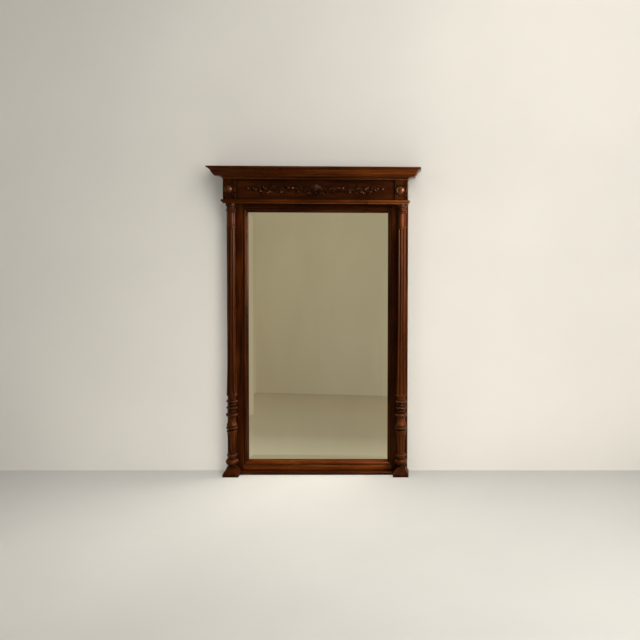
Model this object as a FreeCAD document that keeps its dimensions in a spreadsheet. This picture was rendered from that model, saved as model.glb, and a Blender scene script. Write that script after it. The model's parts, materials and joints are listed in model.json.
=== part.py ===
import FreeCAD, Part
import os
import Sketcher

# Tall column mirror in dark polished wood: a mortised frame with a bevelled plate, two turned and
# fluted columns on splayed plinths, and an entablature of architrave, frieze and mitred cornice.
# X runs to the right, Z up, and the front looks towards -Y. The origin is under the middle of the
# whole, on the surface that the mirror stands on. Depths are counted forwards from the back plane.

# Driving dimensions in millimetres: name, value, meaning
SIZES = (
    ("sight_width", 784, "width of the glass in sight"),
    ("sight_height", 1399, "height of the glass in sight"),
    ("stile_width", 89, "width of a stile's face"),
    ("frame_thick", 42, "thickness of stiles and rails"),
    ("rail_lift", 1, "bottom rail above the ground"),
    ("bottom_rail_height", 44.5, "height of the bottom rail"),
    ("rail_reveal", 24.5, "top rail in sight below the architrave"),
    ("tenon_length", 50, "rail tenon into the stile"),
    ("tenon_thick", 14, "thickness of a tenon"),
    ("tenon_shoulder", 9, "shoulder above and below a tenon"),
    ("tenon_gap", 1, "room at the end of a tenon"),
    ("band_height", 14, "height of the band on the bottom rail"),
    ("band_reach", 37, "band in front of the bottom rail"),
    ("band_round", 5, "rounded upper edge of the band"),
    ("moulding_width", 24, "width of the sight moulding"),
    ("moulding_rim", 40, "depth of the sight moulding's outer rim"),
    ("moulding_swell", 5, "swelling of the sight moulding's face"),
    ("quirk_width", 6, "groove beside the sight moulding"),
    ("quirk_floor", 37, "depth of that groove's floor"),
    ("lip_thick", 3, "sight moulding's edge over the glass"),
    ("lip_overlap", 6, "glass behind the sight edge"),
    ("glass_clearance", 2, "room round the glass"),
    ("seat_gap", 0.2, "easy fit of a loose piece on its seat"),
    ("glass_thick", 6, "thickness of the plate"),
    ("bevel_width", 28, "bevel in sight"),
    ("bevel_edge", 3, "glass left at the edge of the bevel"),
    ("glass_block_thick", 6, "packing behind the glass"),
    ("glass_block_width", 20, "width of a packing block"),
    ("glass_block_length", 60, "length of a packing block"),
    ("back_board_thick", 10, "thickness of the back boards"),
    ("back_board_gap", 0.6, "joint between back boards"),
    ("back_rebate", 15, "rebate for the back boards"),
    ("plinth_height", 48, "height of a plinth"),
    ("plinth_width", 86, "plinth at the ground"),
    ("plinth_cap_width", 52, "plinth under the column"),
    ("plinth_base_height", 16, "upright foot of the plinth"),
    ("plinth_cap_height", 4, "upright cap of the plinth"),
    ("column_inset", 34, "column axis from the stile's outer edge"),
    ("column_standoff", 36, "column axis in front of the frame"),
    ("spigot_radius", 12, "turned spigot at a column's ends"),
    ("spigot_length", 14, "length of that spigot"),
    ("spigot_gap", 1, "room at the end of a spigot"),
    ("core_radius", 22, "column between its turned members"),
    ("foot_drum_height", 13, ""),
    ("foot_drum_radius", 25, ""),
    ("bulb_height", 34, ""),
    ("bulb_radius", 35, ""),
    ("bulb_shoulder_radius", 30, "bulb where its flanks break"),
    ("bulb_neck_height", 12, ""),
    ("lower_ring_height", 16, ""),
    ("lower_ring_radius", 28, ""),
    ("baluster_height", 119, ""),
    ("baluster_low_radius", 20, ""),
    ("baluster_high_radius", 26, ""),
    ("collar_low_height", 13, ""),
    ("collar_low_radius", 29.5, ""),
    ("collar_neck_height", 5, ""),
    ("collar_high_height", 17, ""),
    ("collar_high_radius", 32, ""),
    ("vase_height", 56, ""),
    ("vase_low_radius", 27, ""),
    ("vase_high_radius", 24.5, ""),
    ("vase_hollow", 3.5, "how far the vase is drawn in"),
    ("belt_ring_height", 18, ""),
    ("belt_ring_radius", 33, ""),
    ("belt_neck_height", 24, ""),
    ("disc_low_height", 13, ""),
    ("disc_low_radius", 30.5, ""),
    ("disc_neck_height", 23, ""),
    ("disc_high_height", 13, ""),
    ("disc_high_radius", 31, ""),
    ("shaft_foot_height", 25, ""),
    ("shaft_foot_radius", 22.5, ""),
    ("shaft_low_radius", 28.4, "fluted shaft at its foot"),
    ("shaft_mid_radius", 23, "fluted shaft above its flare"),
    ("shaft_high_radius", 21.4, "fluted shaft at its head"),
    ("flare_height", 200, "flare at the foot of the shaft"),
    ("flute_low_depth", 4, "depth of a flute at the shaft's foot"),
    ("flute_high_depth", 3.2, "depth of a flute above the flare"),
    ("ridge_angle", 12, "degrees that a ridge between two flutes takes"),
    ("astragal_height", 8, ""),
    ("astragal_radius", 25, ""),
    ("drum_height", 72, ""),
    ("drum_radius", 20.5, ""),
    ("cap_ring_height", 20, ""),
    ("cap_ring_radius", 28.5, ""),
    ("cap_neck_height", 12, ""),
    ("abacus_height", 17, ""),
    ("abacus_radius", 30, ""),
    ("entablature_reach", 78, "frieze blocks in front of the frame"),
    ("architrave_height", 21, "height of the architrave"),
    ("architrave_reach", 11, "architrave moulding beyond its board"),
    ("architrave_nose", 2.5, "swelling of its upper part"),
    ("architrave_nose_height", 11, "height of its upper part"),
    ("architrave_toe", 2, "moulding's foot beyond the board"),
    ("frieze_height", 112, "height of the frieze"),
    ("frieze_thick", 18, "thickness of the frieze boards"),
    ("block_width", 69, "width of a frieze block"),
    ("block_thick", 11, "frieze block in front of the frieze"),
    ("rosette_radius", 31, "outer radius of a rosette"),
    ("rosette_height", 7, "height of the rosette's ring"),
    ("rosette_bevel", 4, "bevel on both sides of the ring"),
    ("rosette_floor", 2, "foot of the ring's inner bevel"),
    ("rosette_boss_radius", 19, "boss inside the ring"),
    ("rosette_shoulder_radius", 14, "boss where its flank breaks"),
    ("rosette_shoulder_height", 8, "height of that break"),
    ("rosette_crest_radius", 7, "flat crest of the boss"),
    ("rosette_crest_height", 11, "height of the crest"),
    ("cartouche_half_width", 54, "shell in the middle of the frieze"),
    ("cartouche_half_height", 33, "half the shell's height"),
    ("cartouche_relief", 10, "shell's height above the frieze"),
    ("cartouche_border", 12, "border round the field of the shell"),
    ("garland_length", 282, "one half of the garland"),
    ("garland_root_height", 40, "garland beside the shell"),
    ("garland_tip_height", 10, "garland at its tip"),
    ("garland_sag", 10, "curve of the garland's edges"),
    ("garland_relief", 6, "garland's height above the frieze"),
    ("glue_block_side", 28, "glue block in an inner corner"),
    ("glue_block_length", 70, "length of a glue block"),
    ("bed_height", 15, "height of the bed moulding"),
    ("bed_reach", 13, "projection of the bed moulding"),
    ("bed_toe", 2, "foot of the bed moulding"),
    ("bed_fillet", 3, "flat upper edge of the bed moulding"),
    ("bed_hollow", 3, "hollow of the bed moulding"),
    ("soffit_reach", 25, "flat underside of the cornice"),
    ("crown_lip_height", 3, "upright edge under the crown"),
    ("crown_round_reach", 17, "convex part of the crown, forwards"),
    ("crown_round_height", 26, "convex part of the crown, upwards"),
    ("crown_hollow_reach", 18, "hollow part of the crown, forwards"),
    ("crown_hollow_height", 14, "hollow part of the crown, upwards"),
    ("crown_curve", 2, "depth of the crown's curves"),
    ("crown_fillet", 8, "flat top edge of the crown"),
    ("crown_seat", 15, "crown moulding behind its lower edge"),
    ("corona_thick", 18, "thickness of the corona board"),
    ("hanger_inset", 45, "hanger plate from the stile's outer edge"),
    ("hanger_height", 30, "hanger hole above the frieze's foot"),
    ("hanger_width", 34, "width of a hanger plate"),
    ("hanger_length", 62, "length of a hanger plate"),
    ("hanger_thick", 2.5, "thickness of a hanger plate"),
    ("keyhole_radius", 6, "entry hole of the hanger"),
    ("keyslot_radius", 3.2, "half width of the hanger's slot"),
    ("keyslot_length", 16, "slot above the entry hole"),
    ("hanger_pocket_depth", 14, "room for the screw head behind the plate"),
    ("hanger_pocket_edge", 5, "plate border round that room"),
)

BACK_BOARD_COUNT = 6
FLUTE_COUNT = 8
CUT_MARGIN = 5

doc = FreeCAD.newDocument("column_mirror")
dims = doc.addObject("Spreadsheet::Sheet", "dims")
for row, (alias, size, meaning) in enumerate(SIZES, start=1):
    dims.set(f"A{row}", meaning or alias.replace("_", " "))
    dims.set(f"B{row}", str(size))
    dims.setAlias(f"B{row}", alias)
doc.recompute()

# Planes that several pieces share, worked out from the driving dimensions
LAYOUT = (
    ("sight_x", "dims.sight_width / 2"),
    ("frame_in_x", "sight_x + dims.moulding_width"),
    ("frame_out_x", "frame_in_x + dims.stile_width"),
    ("column_x", "frame_out_x - dims.column_inset"),
    ("column_depth", "dims.frame_thick + dims.column_standoff"),
    ("block_front", "dims.frame_thick + dims.entablature_reach"),
    ("frieze_front", "block_front - dims.block_thick"),
    ("frieze_back", "frieze_front - dims.frieze_thick"),
    ("crown_low_reach", "dims.bed_reach + dims.soffit_reach"),
    ("crown_mid_reach", "crown_low_reach + dims.crown_round_reach"),
    ("crown_reach", "crown_mid_reach + dims.crown_hollow_reach"),
    ("corona_reach", "crown_low_reach - dims.crown_seat"),
    ("overall_depth", "block_front + crown_reach"),
    ("back_y", "overall_depth / 2"),
    ("glass_back", "dims.back_board_thick + dims.glass_block_thick"),
    ("glass_front", "glass_back + dims.glass_thick"),
    ("bevel_run", "dims.bevel_width + dims.lip_overlap"),
    ("bevel_drop", "dims.glass_thick - dims.bevel_edge"),
    ("lip_back", "glass_front - bevel_drop * dims.bevel_width / bevel_run + dims.seat_gap"),
    ("glass_x", "sight_x + dims.lip_overlap"),
    ("rail_top_z", "dims.rail_lift + dims.bottom_rail_height"),
    ("sight_low_z", "rail_top_z + dims.moulding_width"),
    ("sight_high_z", "sight_low_z + dims.sight_height"),
    ("top_rail_z", "sight_high_z + dims.moulding_width"),
    ("column_top_z", "top_rail_z + dims.rail_reveal"),
    ("frieze_low_z", "column_top_z + dims.architrave_height"),
    ("frieze_high_z", "frieze_low_z + dims.frieze_height"),
    ("bed_high_z", "frieze_high_z + dims.bed_height"),
    ("crown_low_z", "bed_high_z + dims.crown_lip_height"),
    ("crown_mid_z", "crown_low_z + dims.crown_round_height"),
    ("crown_high_z", "crown_mid_z + dims.crown_hollow_height"),
    ("top_z", "crown_high_z + dims.crown_fillet"),
    ("board_x", "frame_in_x + dims.back_rebate"),
    ("board_low_z", "rail_top_z - dims.back_rebate"),
    ("board_high_z", "top_rail_z + dims.back_rebate"),
    ("frieze_mid_z", "(frieze_low_z + frieze_high_z) / 2"),
    ("column_height", "column_top_z - dims.plinth_height"),
    ("hanger_x", "frame_out_x - dims.hanger_inset"),
    ("hanger_z", "frieze_low_z + dims.hanger_height"),
)
layout = doc.addObject("App::VarSet", "layout")
for name, formula in LAYOUT:
    layout.addProperty("App::PropertyFloat", name, "Layout")
    layout.setExpression(name, formula)
doc.recompute()

pieces = []


def value(formula):
    """Present value of a formula over the sheet and the layout."""
    result = layout.evalExpression(formula)
    return float(getattr(result, "Value", result))


def named(label, obj):
    """Count an object as a finished piece of the mirror."""
    obj.Label = label
    pieces.append(obj)
    return obj


def bind(obj, formulas):
    for prop, formula in formulas.items():
        obj.setExpression(prop, formula)


def place(obj, x, depth, z):
    """Bind an object's base point to a place given by X, depth from the back and height."""
    bind(obj, {
        "Placement.Base.x": x,
        "Placement.Base.y": f"layout.back_y - ({depth})",
        "Placement.Base.z": z,
    })


def board(name, x, depth, z):
    """Rectangular board between two X planes, two depths and two heights."""
    box = doc.addObject("Part::Box", name)
    bind(box, {
        "Length": f"({x[1]}) - ({x[0]})",
        "Width": f"({depth[1]}) - ({depth[0]})",
        "Height": f"({z[1]}) - ({z[0]})",
    })
    place(box, x[0], depth[1], z[0])
    return box


def upright_cylinder(name, x, depth, z, radius):
    rod = doc.addObject("Part::Cylinder", name)
    bind(rod, {"Radius": radius, "Height": f"({z[1]}) - ({z[0]})"})
    place(rod, x, depth, z[0])
    return rod


def cross_cylinder(name, x, depth, z, radius):
    """Cylinder that runs from front to back."""
    rod = doc.addObject("Part::Cylinder", name)
    rod.Placement.Rotation = FreeCAD.Rotation(FreeCAD.Vector(1, 0, 0), 90)
    bind(rod, {"Radius": radius, "Height": f"({depth[1]}) - ({depth[0]})"})
    place(rod, x, depth[0], z)
    return rod


def cut(name, base, tools):
    for number, tool in enumerate(tools, start=1):
        result = doc.addObject("Part::Cut", f"{name}_cut_{number}")
        result.Base = base
        result.Tool = tool
        base = result
    return base


def fuse(name, shapes):
    result = doc.addObject("Part::MultiFuse", name)
    result.Shapes = shapes
    result.Refine = True
    return result


def group(name, shapes):
    result = doc.addObject("Part::Compound", name)
    result.Links = shapes
    return result


def twin(name, source):
    """Left-hand twin of a right-hand piece."""
    copy = doc.addObject("Part::Mirroring", name)
    copy.Source = source
    copy.Normal = FreeCAD.Vector(1, 0, 0)
    return copy


def mirrored(label, source):
    return named(label, twin(label, source))


def new_body(name, x="0", depth="0", z="0"):
    body = doc.addObject("PartDesign::Body", name)
    place(body, x, depth, z)
    return body


def draw(sketch, corners):
    """Closed outline through corners (u, v) or (u, v, bulge), given as formulas.

    A bulge is the rise of the arc that leads on to the next corner, positive on the right of the way.
    """
    spots = [FreeCAD.Vector(value(corner[0]), value(corner[1]), 0) for corner in corners]
    edges = []
    for index, corner in enumerate(corners):
        follower = (index + 1) % len(corners)
        start, end = spots[index], spots[follower]
        if len(corner) == 2:
            edges.append((sketch.addGeometry(Part.LineSegment(start, end), False), 1, 2))
            continue
        rise = value(corner[2])
        chord = end - start
        aside = FreeCAD.Vector(chord.y, -chord.x, 0).normalize()
        crest = (start + end) * 0.5 + aside * rise
        if rise > 0:
            edges.append((sketch.addGeometry(Part.Arc(start, crest, end), False), 1, 2))
        else:
            edges.append((sketch.addGeometry(Part.Arc(end, crest, start), False), 2, 1))
        span_u = f"(({corners[follower][0]}) - ({corner[0]}))"
        span_v = f"(({corners[follower][1]}) - ({corner[1]}))"
        height = f"abs({corner[2]})"
        radius = f"({span_u} ^ 2 + {span_v} ^ 2) / (8 * {height}) + {height} / 2"
        fix(sketch, Sketcher.Constraint("Radius", edges[-1][0], value(radius)), radius)
    for index, corner in enumerate(corners):
        before, after = edges[index - 1], edges[index]
        sketch.addConstraint(Sketcher.Constraint("Coincident", before[0], before[2], after[0], after[1]))
        for direction, formula in zip(("DistanceX", "DistanceY"), corner):
            spot = Sketcher.Constraint(direction, -1, 1, after[0], after[1], value(formula))
            fix(sketch, spot, formula)


def fix(sketch, constraint, formula):
    number = sketch.addConstraint(constraint)
    sketch.setExpression(f"Constraints[{number}]", formula)


def new_sketch(body, role, name):
    sketch = body.newObject("Sketcher::SketchObject", name)
    plane = next(item for item in body.Origin.OriginFeatures if item.Role == role)
    sketch.AttachmentSupport = (plane, [""])
    sketch.MapMode = "FlatFace"
    return sketch


def pad(body, role, name, corners, length, symmetric=False):
    sketch = new_sketch(body, role, f"{name}_profile")
    draw(sketch, corners)
    feature = body.newObject("PartDesign::Pad", f"{name}_pad")
    feature.Profile = sketch
    feature.setExpression("Length", length)
    if symmetric:
        feature.SideType = "Symmetric"
    return feature


def mitre(body, role, name, triangles):
    """Saw off the ends of a moulding along the given triangles."""
    doc.recompute()
    before = body.Shape.Volume
    sketch = new_sketch(body, role, f"{name}_mitres")
    for triangle in triangles:
        draw(sketch, triangle)
    feature = body.newObject("PartDesign::Pocket", f"{name}_saw")
    feature.Profile = sketch
    feature.Type = "ThroughAll"
    feature.SideType = "Symmetric"
    doc.recompute()
    if not body.Shape.Volume < before:
        raise RuntimeError(f"{name}: the mitres cut nothing")


# Frame: two stiles, two rails, tenons in mortises, rebate for the back boards
TENON_LOW = "(dims.frame_thick - dims.tenon_thick) / 2"
TENON_DEPTH = (TENON_LOW, f"{TENON_LOW} + dims.tenon_thick")
TENON_X = "layout.frame_in_x + dims.tenon_length"


def tenon_heights(low, high):
    return (f"{low} + dims.tenon_shoulder", f"{high} - dims.tenon_shoulder")


BOTTOM_TENON = tenon_heights("dims.rail_lift", "layout.rail_top_z")
TOP_TENON = tenon_heights("layout.top_rail_z", "layout.frieze_high_z")


def make_rail(label, heights, tenon, rebate):
    stock = board(f"{label}_stock", ("-layout.frame_in_x", "layout.frame_in_x"),
                  ("0", "dims.frame_thick"), heights)
    tongue = board(f"{label}_tenons", (f"-({TENON_X})", TENON_X), TENON_DEPTH, tenon)
    groove = board(f"{label}_rebate", ("-layout.frame_in_x", "layout.frame_in_x"),
                   ("0", "dims.back_board_thick"), rebate)
    whole = fuse(f"{label}_whole", [stock, tongue])
    return named(label, cut(label, whole, [groove]))


def make_stile():
    stock = board("stile_stock", ("layout.frame_in_x", "layout.frame_out_x"),
                  ("0", "dims.frame_thick"), ("0", "layout.frieze_high_z"))
    rebate = board("stile_rebate", ("layout.frame_in_x", "layout.board_x"),
                   ("0", "dims.back_board_thick"), ("layout.board_low_z", "layout.board_high_z"))
    tools = [rebate]
    for name, tenon in (("bottom", BOTTOM_TENON), ("top", TOP_TENON)):
        tools.append(board(f"{name}_mortise", ("layout.frame_in_x", f"{TENON_X} + dims.tenon_gap"),
                           TENON_DEPTH, tenon))
    half_width = "dims.hanger_width / 2"
    low, high = hanger_heights()
    tools.append(board("hanger_recess",
                       (f"layout.hanger_x - {half_width}", f"layout.hanger_x + {half_width}"),
                       ("0", "dims.hanger_thick"), (low, high)))
    room = f"({half_width} - dims.hanger_pocket_edge)"
    tools.append(board("hanger_pocket",
                       (f"layout.hanger_x - {room}", f"layout.hanger_x + {room}"),
                       ("0", "dims.hanger_pocket_depth"),
                       (f"{low} + dims.hanger_pocket_edge", f"{high} - dims.hanger_pocket_edge")))
    stile = named("right_stile", cut("right_stile", stock, tools))
    mirrored("left_stile", stile)


def hanger_heights():
    """Lower and upper edge of a hanger plate, with the keyhole in its middle."""
    middle = "layout.hanger_z + dims.keyslot_length / 2"
    return (f"({middle} - dims.hanger_length / 2)", f"({middle} + dims.hanger_length / 2)")


def make_hangers():
    half_width = "dims.hanger_width / 2"
    through = (f"-{CUT_MARGIN}", f"dims.hanger_thick + {CUT_MARGIN}")
    plate = board("hanger_stock",
                  (f"layout.hanger_x - {half_width}", f"layout.hanger_x + {half_width}"),
                  ("0", "dims.hanger_thick"), hanger_heights())
    entry = cross_cylinder("hanger_entry", "layout.hanger_x", through, "layout.hanger_z",
                           "dims.keyhole_radius")
    slot_top = "layout.hanger_z + dims.keyslot_length"
    slot = board("hanger_slot",
                 ("layout.hanger_x - dims.keyslot_radius", "layout.hanger_x + dims.keyslot_radius"),
                 through, ("layout.hanger_z", slot_top))
    slot_end = cross_cylinder("hanger_slot_end", "layout.hanger_x", through, slot_top,
                              "dims.keyslot_radius")
    hanger = cut("right_hanger_plate", plate, [entry, slot, slot_end])
    named("hanger_plates", group("hanger_plates", [hanger, twin("left_hanger_plate", hanger)]))


def make_band():
    """Rounded band on the foot of the bottom rail, between the plinths."""
    half = "layout.column_x - dims.plinth_width / 2"
    front = "-(dims.frame_thick + dims.band_reach)"
    high = "dims.rail_lift + dims.band_height"
    body = new_body("bottom_band")
    pad(body, "YZ_Plane", "band", [
        ("-dims.frame_thick", "dims.rail_lift"),
        ("-dims.frame_thick", high),
        (f"{front} + dims.band_round", high, "-dims.band_round * 0.25"),
        (front, f"{high} - dims.band_round"),
        (front, "dims.rail_lift"),
    ], f"2 * ({half})", symmetric=True)
    named("bottom_band", body)


# Sight mouldings: an ovolo that slopes to the glass, with a groove on its outer side and a rebate
# behind its lip for the plate
def sight_profile(across):
    """Outline of the moulding; across(formula) turns a distance from the sight edge into a place."""
    rebate = "dims.lip_overlap + dims.glass_clearance"
    lip_front = "layout.lip_back + dims.lip_thick"
    rim = "dims.moulding_width - dims.quirk_width"
    return [
        (across("0"), "layout.lip_back"),
        (across(rebate), "layout.lip_back"),
        (across(rebate), "dims.back_board_thick"),
        (across("dims.moulding_width"), "dims.back_board_thick"),
        (across("dims.moulding_width"), "dims.quirk_floor"),
        (across(rim), "dims.quirk_floor"),
        (across(rim), "dims.moulding_rim", "dims.moulding_swell"),
        (across("0"), lip_front),
    ]


def flip_bulges(corners):
    """Same outline seen from its other side, so that each arc rises on the other hand."""
    return [corner if len(corner) == 2 else (*corner[:2], f"-({corner[2]})") for corner in corners]


def make_side_moulding():
    body = new_body("right_sight_moulding", z="layout.sight_low_z - dims.moulding_width")
    outline = [(corner[0], f"-({corner[1]})", *corner[2:])
               for corner in sight_profile(lambda away: f"layout.sight_x + {away}")]
    length = "dims.sight_height + 2 * dims.moulding_width"
    pad(body, "XY_Plane", "side_sight", flip_bulges(outline), length)
    inner = f"layout.sight_x - {CUT_MARGIN}"
    outer = f"layout.frame_in_x + {CUT_MARGIN}"
    below = f"-{CUT_MARGIN}"
    rise = f"dims.moulding_width + {CUT_MARGIN}"
    mitre(body, "XZ_Plane", "side_sight", [
        [(inner, rise), (inner, below), (outer, below)],
        [(inner, f"{length} - ({rise})"), (outer, f"{length} + {CUT_MARGIN}"),
         (inner, f"{length} + {CUT_MARGIN}")],
    ])
    mirrored("left_sight_moulding", named("right_sight_moulding", body))


def make_level_moulding(label, edge, sign):
    """Top or bottom sight moulding; sign says which way it lies from its sight edge."""
    body = new_body(label)
    outline = [(f"-({corner[1]})", corner[0], *corner[2:])
               for corner in sight_profile(lambda away: f"{edge} {sign} ({away})")]
    if sign == "-":
        outline = flip_bulges(outline)
    pad(body, "YZ_Plane", label, outline, "2 * layout.frame_in_x", symmetric=True)
    inner = f"{edge} {sign} (-{CUT_MARGIN})"
    outer = f"{edge} {sign} (dims.moulding_width + {CUT_MARGIN})"
    near = f"layout.sight_x - {CUT_MARGIN}"
    far = f"layout.frame_in_x + {CUT_MARGIN}"
    mitre(body, "XZ_Plane", label, [
        [(near, inner), (far, inner), (far, outer)],
        [(f"-({near})", inner), (f"-({far})", inner), (f"-({far})", outer)],
    ])
    named(label, body)


# Plate, packing and back boards
def make_glass():
    """Plate with a bevel along all four edges of its front."""
    low, high = "layout.sight_low_z - dims.lip_overlap", "layout.sight_high_z + dims.lip_overlap"
    edge_front = "layout.glass_back + dims.bevel_edge"
    plate = board("glass_plate", ("-layout.glass_x", "layout.glass_x"),
                  ("layout.glass_back", edge_front), (low, high))
    bevel = doc.addObject("Part::Wedge", "glass_bevel")
    flat_x = "layout.glass_x - layout.bevel_run"
    bind(bevel, {
        "Xmin": f"-({flat_x})",
        "Xmax": flat_x,
        "Zmin": f"{low} + layout.bevel_run",
        "Zmax": f"{high} - layout.bevel_run",
        "X2min": "-layout.glass_x",
        "X2max": "layout.glass_x",
        "Z2min": low,
        "Z2max": high,
        "Ymin": "-layout.glass_front",
        "Ymax": f"-({edge_front})",
        "Placement.Base.y": "layout.back_y",
    })
    named("mirror_glass", fuse("mirror_glass", [plate, bevel]))


def make_glass_blocks():
    """Softwood packing that holds the plate against the lips."""
    depth = ("dims.back_board_thick", "layout.glass_back")
    half = "dims.glass_block_length / 2"
    middle_z = "(layout.sight_low_z + layout.sight_high_z) / 2"
    blocks = []
    for place_name, share in (("low", -0.35), ("mid", 0), ("high", 0.35)):
        centre = f"({middle_z} + {share} * dims.sight_height)"
        centre_x = f"({share} * dims.sight_width)"
        for side, sign in (("right", ""), ("left", "-")):
            edges = ["layout.glass_x - dims.glass_block_width", "layout.glass_x"]
            if sign:
                edges = [f"-({edges[1]})", f"-({edges[0]})"]
            blocks.append(board(f"{side}_block_{place_name}", edges, depth,
                                (f"{centre} - {half}", f"{centre} + {half}")))
        low = "layout.sight_low_z - dims.lip_overlap"
        high = "layout.sight_high_z + dims.lip_overlap"
        for level, heights in (("foot", (low, f"{low} + dims.glass_block_width")),
                               ("head", (f"{high} - dims.glass_block_width", high))):
            blocks.append(board(f"{level}_block_{place_name}",
                                (f"{centre_x} - {half}", f"{centre_x} + {half}"), depth, heights))
    named("glass_blocks", group("glass_blocks", blocks))


def make_back_boards():
    pitch = f"((layout.board_high_z - layout.board_low_z) / {BACK_BOARD_COUNT})"
    for number in range(BACK_BOARD_COUNT):
        low = f"layout.board_low_z + {number} * {pitch} + dims.back_board_gap / 2"
        high = f"layout.board_low_z + {number + 1} * {pitch} - dims.back_board_gap / 2"
        end = "layout.board_x - dims.back_board_gap"
        named(f"back_board_{number + 1}",
              board(f"back_board_{number + 1}", (f"-({end})", end), ("0", "dims.back_board_thick"),
                    (low, high)))


# Columns on their plinths
COLUMN_FOOT = (
    ("drum", "foot_drum"), ("bulb", "bulb"), ("neck", "bulb_neck"), ("disc", "lower_ring"),
    ("taper", "baluster"), ("disc", "collar_low"), ("neck", "collar_neck"), ("disc", "collar_high"),
    ("hollow", "vase"), ("ring", "belt_ring"), ("neck", "belt_neck"), ("disc", "disc_low"),
    ("neck", "disc_neck"), ("disc", "disc_high"), ("drum", "shaft_foot"),
)
COLUMN_HEAD = (
    ("disc", "astragal"), ("drum", "drum"), ("ring", "cap_ring"), ("neck", "cap_neck"),
    ("slab", "abacus"),
)


def total_height(members):
    return " + ".join(f"dims.{name}_height" for kind, name in members)


FOOT_HEIGHT = f"({total_height(COLUMN_FOOT)})"
HEAD_HEIGHT = f"({total_height(COLUMN_HEAD)})"
SHAFT_TOP = f"(layout.column_height - {HEAD_HEIGHT})"
SHAFT_LENGTH = f"({SHAFT_TOP} - {FOOT_HEIGHT})"
SHAFT_STATIONS = (
    ("0", "dims.shaft_low_radius", "dims.flute_low_depth"),
    ("dims.flare_height", "dims.shaft_mid_radius", "dims.flute_high_depth"),
    (SHAFT_LENGTH, "dims.shaft_high_radius", "dims.flute_high_depth"),
)


def member_corners(kind, name, low, high):
    """Corners that one turned member adds to the column's outline, from its foot to its head."""
    height = f"dims.{name}_height"
    radius = f"dims.{name}_radius"
    if kind == "ring":
        return [(radius, f"{low} + {height} / 3"), (radius, f"{high} - {height} / 3")]
    if kind == "disc":
        return [(radius, f"{low} + {height} / 2")]
    if kind == "slab":
        return [(radius, f"{low} + {height} / 3"), (radius, high)]
    if kind == "bulb":
        shoulder = f"dims.{name}_shoulder_radius"
        return [(shoulder, f"{low} + {height} / 6"), (radius, f"{low} + {height} / 2"),
                (shoulder, f"{high} - {height} / 6")]
    if kind == "taper":
        return [(f"dims.{name}_low_radius", low), (f"dims.{name}_high_radius", high)]
    if kind == "hollow":
        low_radius, high_radius = f"dims.{name}_low_radius", f"dims.{name}_high_radius"
        waist = f"({low_radius} + {high_radius}) / 2 - dims.{name}_hollow"
        return [(low_radius, low), (waist, f"{low} + {height} / 2"), (high_radius, high)]
    if kind == "drum":
        return [(radius, low), (radius, high)]
    return [("dims.core_radius", f"{low} + {height} / 2")]


def member_stack(members, start):
    corners = []
    low = start
    for kind, name in members:
        high = f"{low} + dims.{name}_height"
        corners += member_corners(kind, name, low, high)
        low = high
    return corners


def fluted_section(radius, depth):
    """Outline across the shaft: a flat ridge and a flute in each pitch, with a ridge to the front."""
    pitch = 360 / FLUTE_COUNT
    half = "dims.ridge_angle / 2"
    corners = []
    for number in range(FLUTE_COUNT):
        for sign, bulge in (("-", []), ("+", [f"-{depth}"])):
            angle = f"({number * pitch} {sign} {half}) * 1 deg"
            corners.append((f"{radius} * cos({angle})", f"{radius} * sin({angle})", *bulge))
    return corners


def make_column():
    """One turned piece with spigots at its ends and a fluted shaft, which flares at its foot."""
    body = new_body("right_column", "layout.column_x", "layout.column_depth", "dims.plinth_height")
    spigot_top = "layout.column_height + dims.spigot_length"
    spigot = "dims.spigot_radius"
    outline = [("0", "-dims.spigot_length"), (spigot, "-dims.spigot_length"), (spigot, "0")]
    outline += member_stack(COLUMN_FOOT, "0")
    outline += [(spigot, FOOT_HEIGHT), (spigot, SHAFT_TOP)]
    outline += member_stack(COLUMN_HEAD, SHAFT_TOP)
    outline += [(spigot, "layout.column_height"), (spigot, spigot_top), ("0", spigot_top)]
    sketch = new_sketch(body, "XZ_Plane", "column_outline")
    draw(sketch, outline)
    turned = body.newObject("PartDesign::Revolution", "column_turning")
    turned.Profile = sketch
    turned.ReferenceAxis = (sketch, ["V_Axis"])
    turned.Angle = 360
    sections = []
    for number, (height, radius, depth) in enumerate(SHAFT_STATIONS, start=1):
        section = new_sketch(body, "XY_Plane", f"shaft_section_{number}")
        section.setExpression("AttachmentOffset.Base.z", f"{FOOT_HEIGHT} + {height}")
        draw(section, fluted_section(radius, depth))
        sections.append(section)
    shaft = body.newObject("PartDesign::AdditiveLoft", "fluted_shaft")
    shaft.Profile = sections[0]
    shaft.Sections = [(section, [""]) for section in sections[1:]]
    shaft.Ruled = True
    mirrored("left_column", named("right_column", body))


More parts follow.
